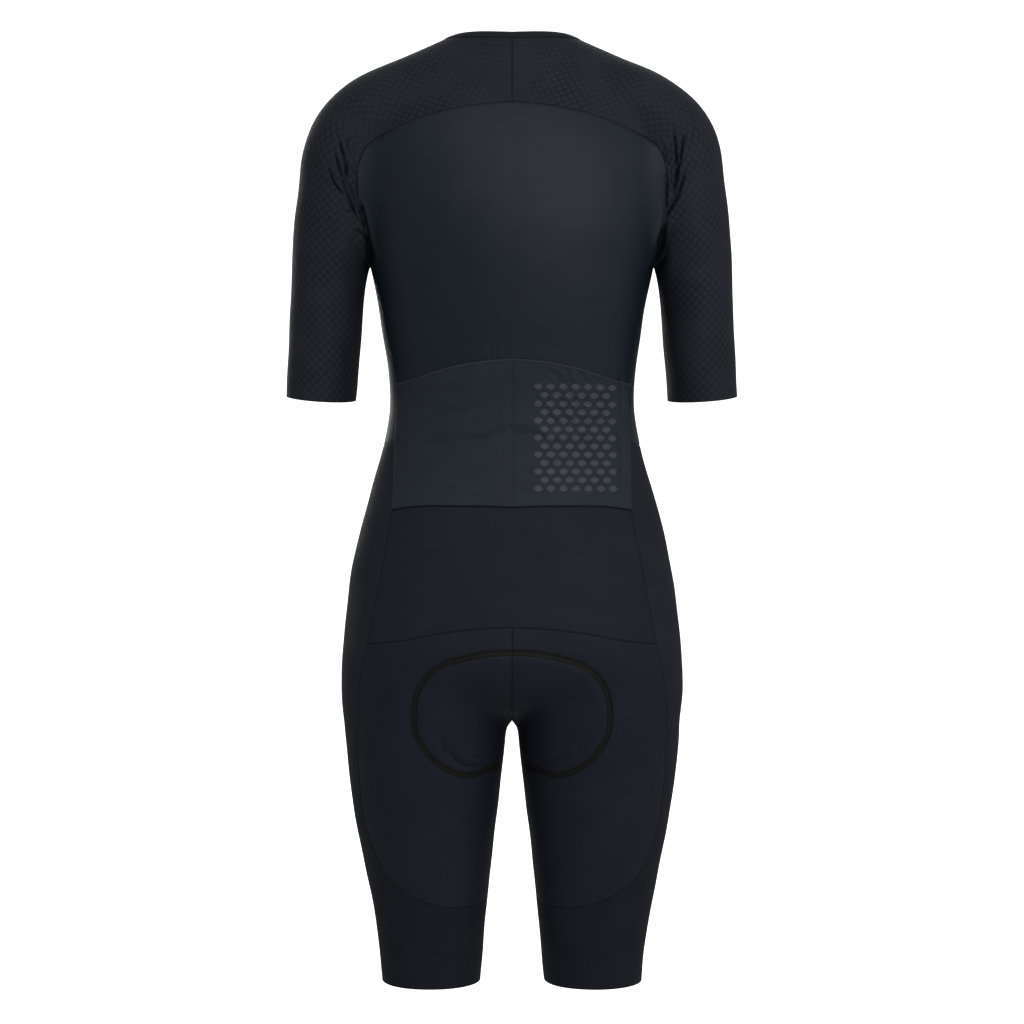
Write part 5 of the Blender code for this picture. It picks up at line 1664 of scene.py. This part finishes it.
def reflective_motif(tree, place):
    """A plain field of small lozenges, every other row set off by half a step, within the right pocket."""
    x, _, z = split(tree, place)
    row = maths(tree, "DIVIDE", maths(tree, "SUBTRACT", z, MOTIF_FIRST[1]), MOTIF_STEP[1])
    row = maths(tree, "ADD", row, 0.5)
    odd = maths(tree, "MULTIPLY", maths(tree, "MODULO", maths(tree, "FLOOR", row), 2.0), 0.5)
    col = maths(tree, "DIVIDE", maths(tree, "SUBTRACT", x, MOTIF_FIRST[0]), MOTIF_STEP[0])
    col = maths(tree, "ADD", maths(tree, "SUBTRACT", col, odd), 0.5)
    reach = 0
    for at, step, half in ((col, MOTIF_STEP[0], LOZENGE[0]), (row, MOTIF_STEP[1], LOZENGE[1])):
        away = maths(tree, "ABSOLUTE", maths(tree, "SUBTRACT", maths(tree, "FRACT", at), 0.5))
        away = maths(tree, "POWER", maths(tree, "MULTIPLY", away, step / half), LOZENGE_ROUND)
        reach = maths(tree, "ADD", away, reach)
    mask = clamped(tree, maths(tree, "MULTIPLY", maths(tree, "SUBTRACT", 1.0, reach), LOZENGE_EDGE))
    for at, last, count in ((col, maths(tree, "MULTIPLY_ADD", odd, 2.0, col), MOTIF_COUNT[0]),
                            (row, row, MOTIF_COUNT[1])):
        mask = maths(tree, "MULTIPLY", mask, maths(tree, "GREATER_THAN", at, 0.0))
        mask = maths(tree, "MULTIPLY", mask, maths(tree, "LESS_THAN", last, float(count)))
    return mask


def plain_finish(name, colour, rough, metal=0.0, specular=0.35, grain=900.0, wear=0.25):
    """Threads, teeth and lacquered metal: a fine grain, a little wear and slow mottling."""
    material, tree, shader = base_material(name)
    place = tree.nodes.new("ShaderNodeTexCoord").outputs["Object"]
    fine, slow = noise(tree, place, grain, 2.0), noise(tree, place, grain / 12, 3.0)
    tone = maths(tree, "ADD", maths(tree, "MULTIPLY", fine, 0.5), maths(tree, "MULTIPLY", slow, 0.5))
    paint = blended(tree, tone, shade(colour, 1 - wear), shade(colour, 1 + wear))
    bump = tree.nodes.new("ShaderNodeBump")
    bump.inputs["Distance"].default_value = 0.06 * MM
    plug(tree, bump.inputs["Height"], fine)
    plug(tree, shader.inputs["Base Color"], paint)
    plug(tree, shader.inputs["Roughness"], maths(tree, "MULTIPLY_ADD", slow, 0.2, rough - 0.1))
    plug(tree, shader.inputs["Normal"], bump.outputs[0])
    shader.inputs["Metallic"].default_value = metal
    shader.inputs["Specular IOR Level"].default_value = specular
    return material


def finishes():
    """Every finish of the suit by its name."""
    cloths = (
        # name, colour, roughness, what else it has
        ("smooth_knit", (0.0034, 0.0087, 0.0150), 0.50, dict(specular=0.24)),
        ("pocket_knit", (0.0176, 0.0234, 0.0308), 0.52, dict(specular=0.08, motif=True, crease_shade_strength=0.12)),
        ("dark_knit", (0.0107, 0.0133, 0.0206), 0.60, dict(specular=0.085)),
        ("side_knit", (0.0170, 0.0184, 0.0252), 0.60, dict(specular=0.03, leg_shade=0.28)),
        ("dimpled_knit", (0.0163, 0.0188, 0.0252), 0.66, dict(specular=0.075, lattice=0.95)),
        ("neck_binding", (0.0116, 0.0158, 0.0184), 0.60, dict(specular=0.06, wale=1.6)),
        ("pocket_binding", (0.0250, 0.0315, 0.0375), 0.55, dict(specular=0.08, wale=0.9)),
        ("zip_tape", (0.006, 0.006, 0.007), 0.70, dict(wale=0.8)),
    )
    plain = (
        ("thread", (0.006, 0.0062, 0.006), 0.60, {}),
        ("zip_teeth", (0.008, 0.008, 0.009), 0.38, dict(specular=0.5)),
        ("slider_metal", (0.03, 0.03, 0.032), 0.36, dict(metal=0.85, grain=500.0, wear=0.4)),
    )
    made = {}
    for make, rows in ((cloth_finish, cloths), (plain_finish, plain)):
        for name, colour, rough, values in rows:
            made[name] = make(name, colour, rough, **values)
    return made


# ------------------------------------------------------------ studio
# The room's measures are in metres.
FLOOR_Z = -0.985
FLOOR_RADIUS = 7.0
FLOOR_SIDES = 96
WALL_HIGH = 9.0  # a wall rises all round the floor, out of a wide curve
CURVE = 2.0
CURVE_STEPS = 12
FLOOR_TONES = (0.86, 0.90)
FLOOR_GLOW = 1.1
WORLD = 0.56  # how bright the room is above and below, and how bright level with the suit
WORLD_LEVEL = 0.32
WORLD_RISE = (2.2, -0.4)  # from one to the other: times how steep the way is, and added
SENSOR = 36.0  # millimetres
PICTURE_WIDE = 993.28  # how many millimetres of the suit's middle plane the picture is wide
LIGHTS = (
    # name, place, aimed at, width, height, watts
    ("key", (-1.4, 3.0, 0.5), (0, 0, -0.45), 1.4, 1.6, 32),
    ("high", (0, 2.6, 1.6), (0, 0, -0.4), 1.8, 1.2, 19.6),
    ("side", (-2.2, 1.0, 0.2), (0, 0, -0.45), 1.2, 1.8, 7.5),
    ("other_side", (2.2, 1.0, 0.2), (0, 0, -0.45), 1.2, 1.8, 1.1),
    ("front_key", (1.4, -3.0, 0.6), (0, 0, -0.45), 1.4, 1.6, 30),
    ("front_high", (0, -2.6, 1.6), (0, 0, -0.4), 1.8, 1.2, 14),
)


def studio():
    """The white room, its lights and the camera, which looks at the suit's back."""
    scene = bpy.context.scene
    scene.view_settings.view_transform = "Standard"
    world = bpy.data.worlds.new("studio_world")
    world.use_nodes = True
    tree = world.node_tree
    way = tree.nodes.new("ShaderNodeTexCoord").outputs["Generated"]
    steep = maths(tree, "ABSOLUTE", split(tree, way)[2])
    steep = clamped(tree, maths(tree, "MULTIPLY_ADD", steep, *WORLD_RISE))
    strength = maths(tree, "MULTIPLY_ADD", steep, WORLD - WORLD_LEVEL, WORLD_LEVEL)
    plug(tree, tree.nodes["Background"].inputs["Color"], (1, 1, 1, 1))
    plug(tree, tree.nodes["Background"].inputs["Strength"], strength)
    scene.world = world
    bm = bmesh.new()
    bmesh.ops.create_circle(bm, cap_ends=True, segments=FLOOR_SIDES, radius=FLOOR_RADIUS)
    bmesh.ops.translate(bm, verts=bm.verts, vec=(0, 0, FLOOR_Z))
    rim = [e for e in bm.edges if e.is_boundary]
    raised = bmesh.ops.extrude_edge_only(bm, edges=rim)["geom"]
    raised = [v for v in raised if isinstance(v, bmesh.types.BMVert)]
    bmesh.ops.translate(bm, verts=raised, vec=(0, 0, WALL_HIGH))
    bmesh.ops.bevel(bm, geom=rim, offset=CURVE, segments=CURVE_STEPS, profile=0.5, affect="EDGES",
                    material=-1)
    mesh = bpy.data.meshes.new("floor")
    bm.to_mesh(mesh)
    bm.free()
    mesh.shade_smooth()
    floor = bpy.data.objects.new("floor", mesh)
    scene.collection.objects.link(floor)
    material, tree, shader = base_material("pale_floor")
    place = tree.nodes.new("ShaderNodeTexCoord").outputs["Object"]
    paint = blended(tree, noise(tree, place, 3.0), *[(tone, tone, tone, 1) for tone in FLOOR_TONES])
    plug(tree, shader.inputs["Base Color"], paint)
    shader.inputs["Roughness"].default_value = 0.9
    shader.inputs["Emission Color"].default_value = (1, 1, 1, 1)
    shader.inputs["Emission Strength"].default_value = FLOOR_GLOW
    mesh.materials.append(material)
    floor.visible_glossy = False
    floor.visible_diffuse = False
    for name, place, aim, width, height, watts in LIGHTS:
        light = bpy.data.lights.new(name, "AREA")
        light.shape = "RECTANGLE"
        light.size, light.size_y, light.energy = width, height, watts
        ob = bpy.data.objects.new(name, light)
        ob.location = place
        ob.visible_camera = False
        ob.rotation_euler = (Vector(aim) - Vector(place)).to_track_quat("-Z", "Y").to_euler()
        scene.collection.objects.link(ob)
    camera = bpy.data.cameras.new("camera")
    camera.lens = SENSOR * VIEW / PICTURE_WIDE
    camera.sensor_width = SENSOR
    camera.clip_start = 0.05
    ob = bpy.data.objects.new("camera", camera)
    ob.location = (0, VIEW * MM, EYE_Z * MM)
    ob.rotation_euler = (math.pi / 2, 0, math.pi)
    scene.collection.objects.link(ob)
    scene.camera = ob


def main():
    s = seams(SEAM_DETAIL)
    finish = finishes()
    cloth_panels(s, finish)
    up = neck_trim(s, finish)
    binding = pocket_binding(s, finish)
    zip_pieces(s, up, finish)
    seam_stitching(s, finish)
    for node in ("zip_slider", "zip_pull"):
        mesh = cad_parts[node].data
        mesh.materials.clear()
        mesh.materials.append(finish["slider_metal"])
    studio()


main()
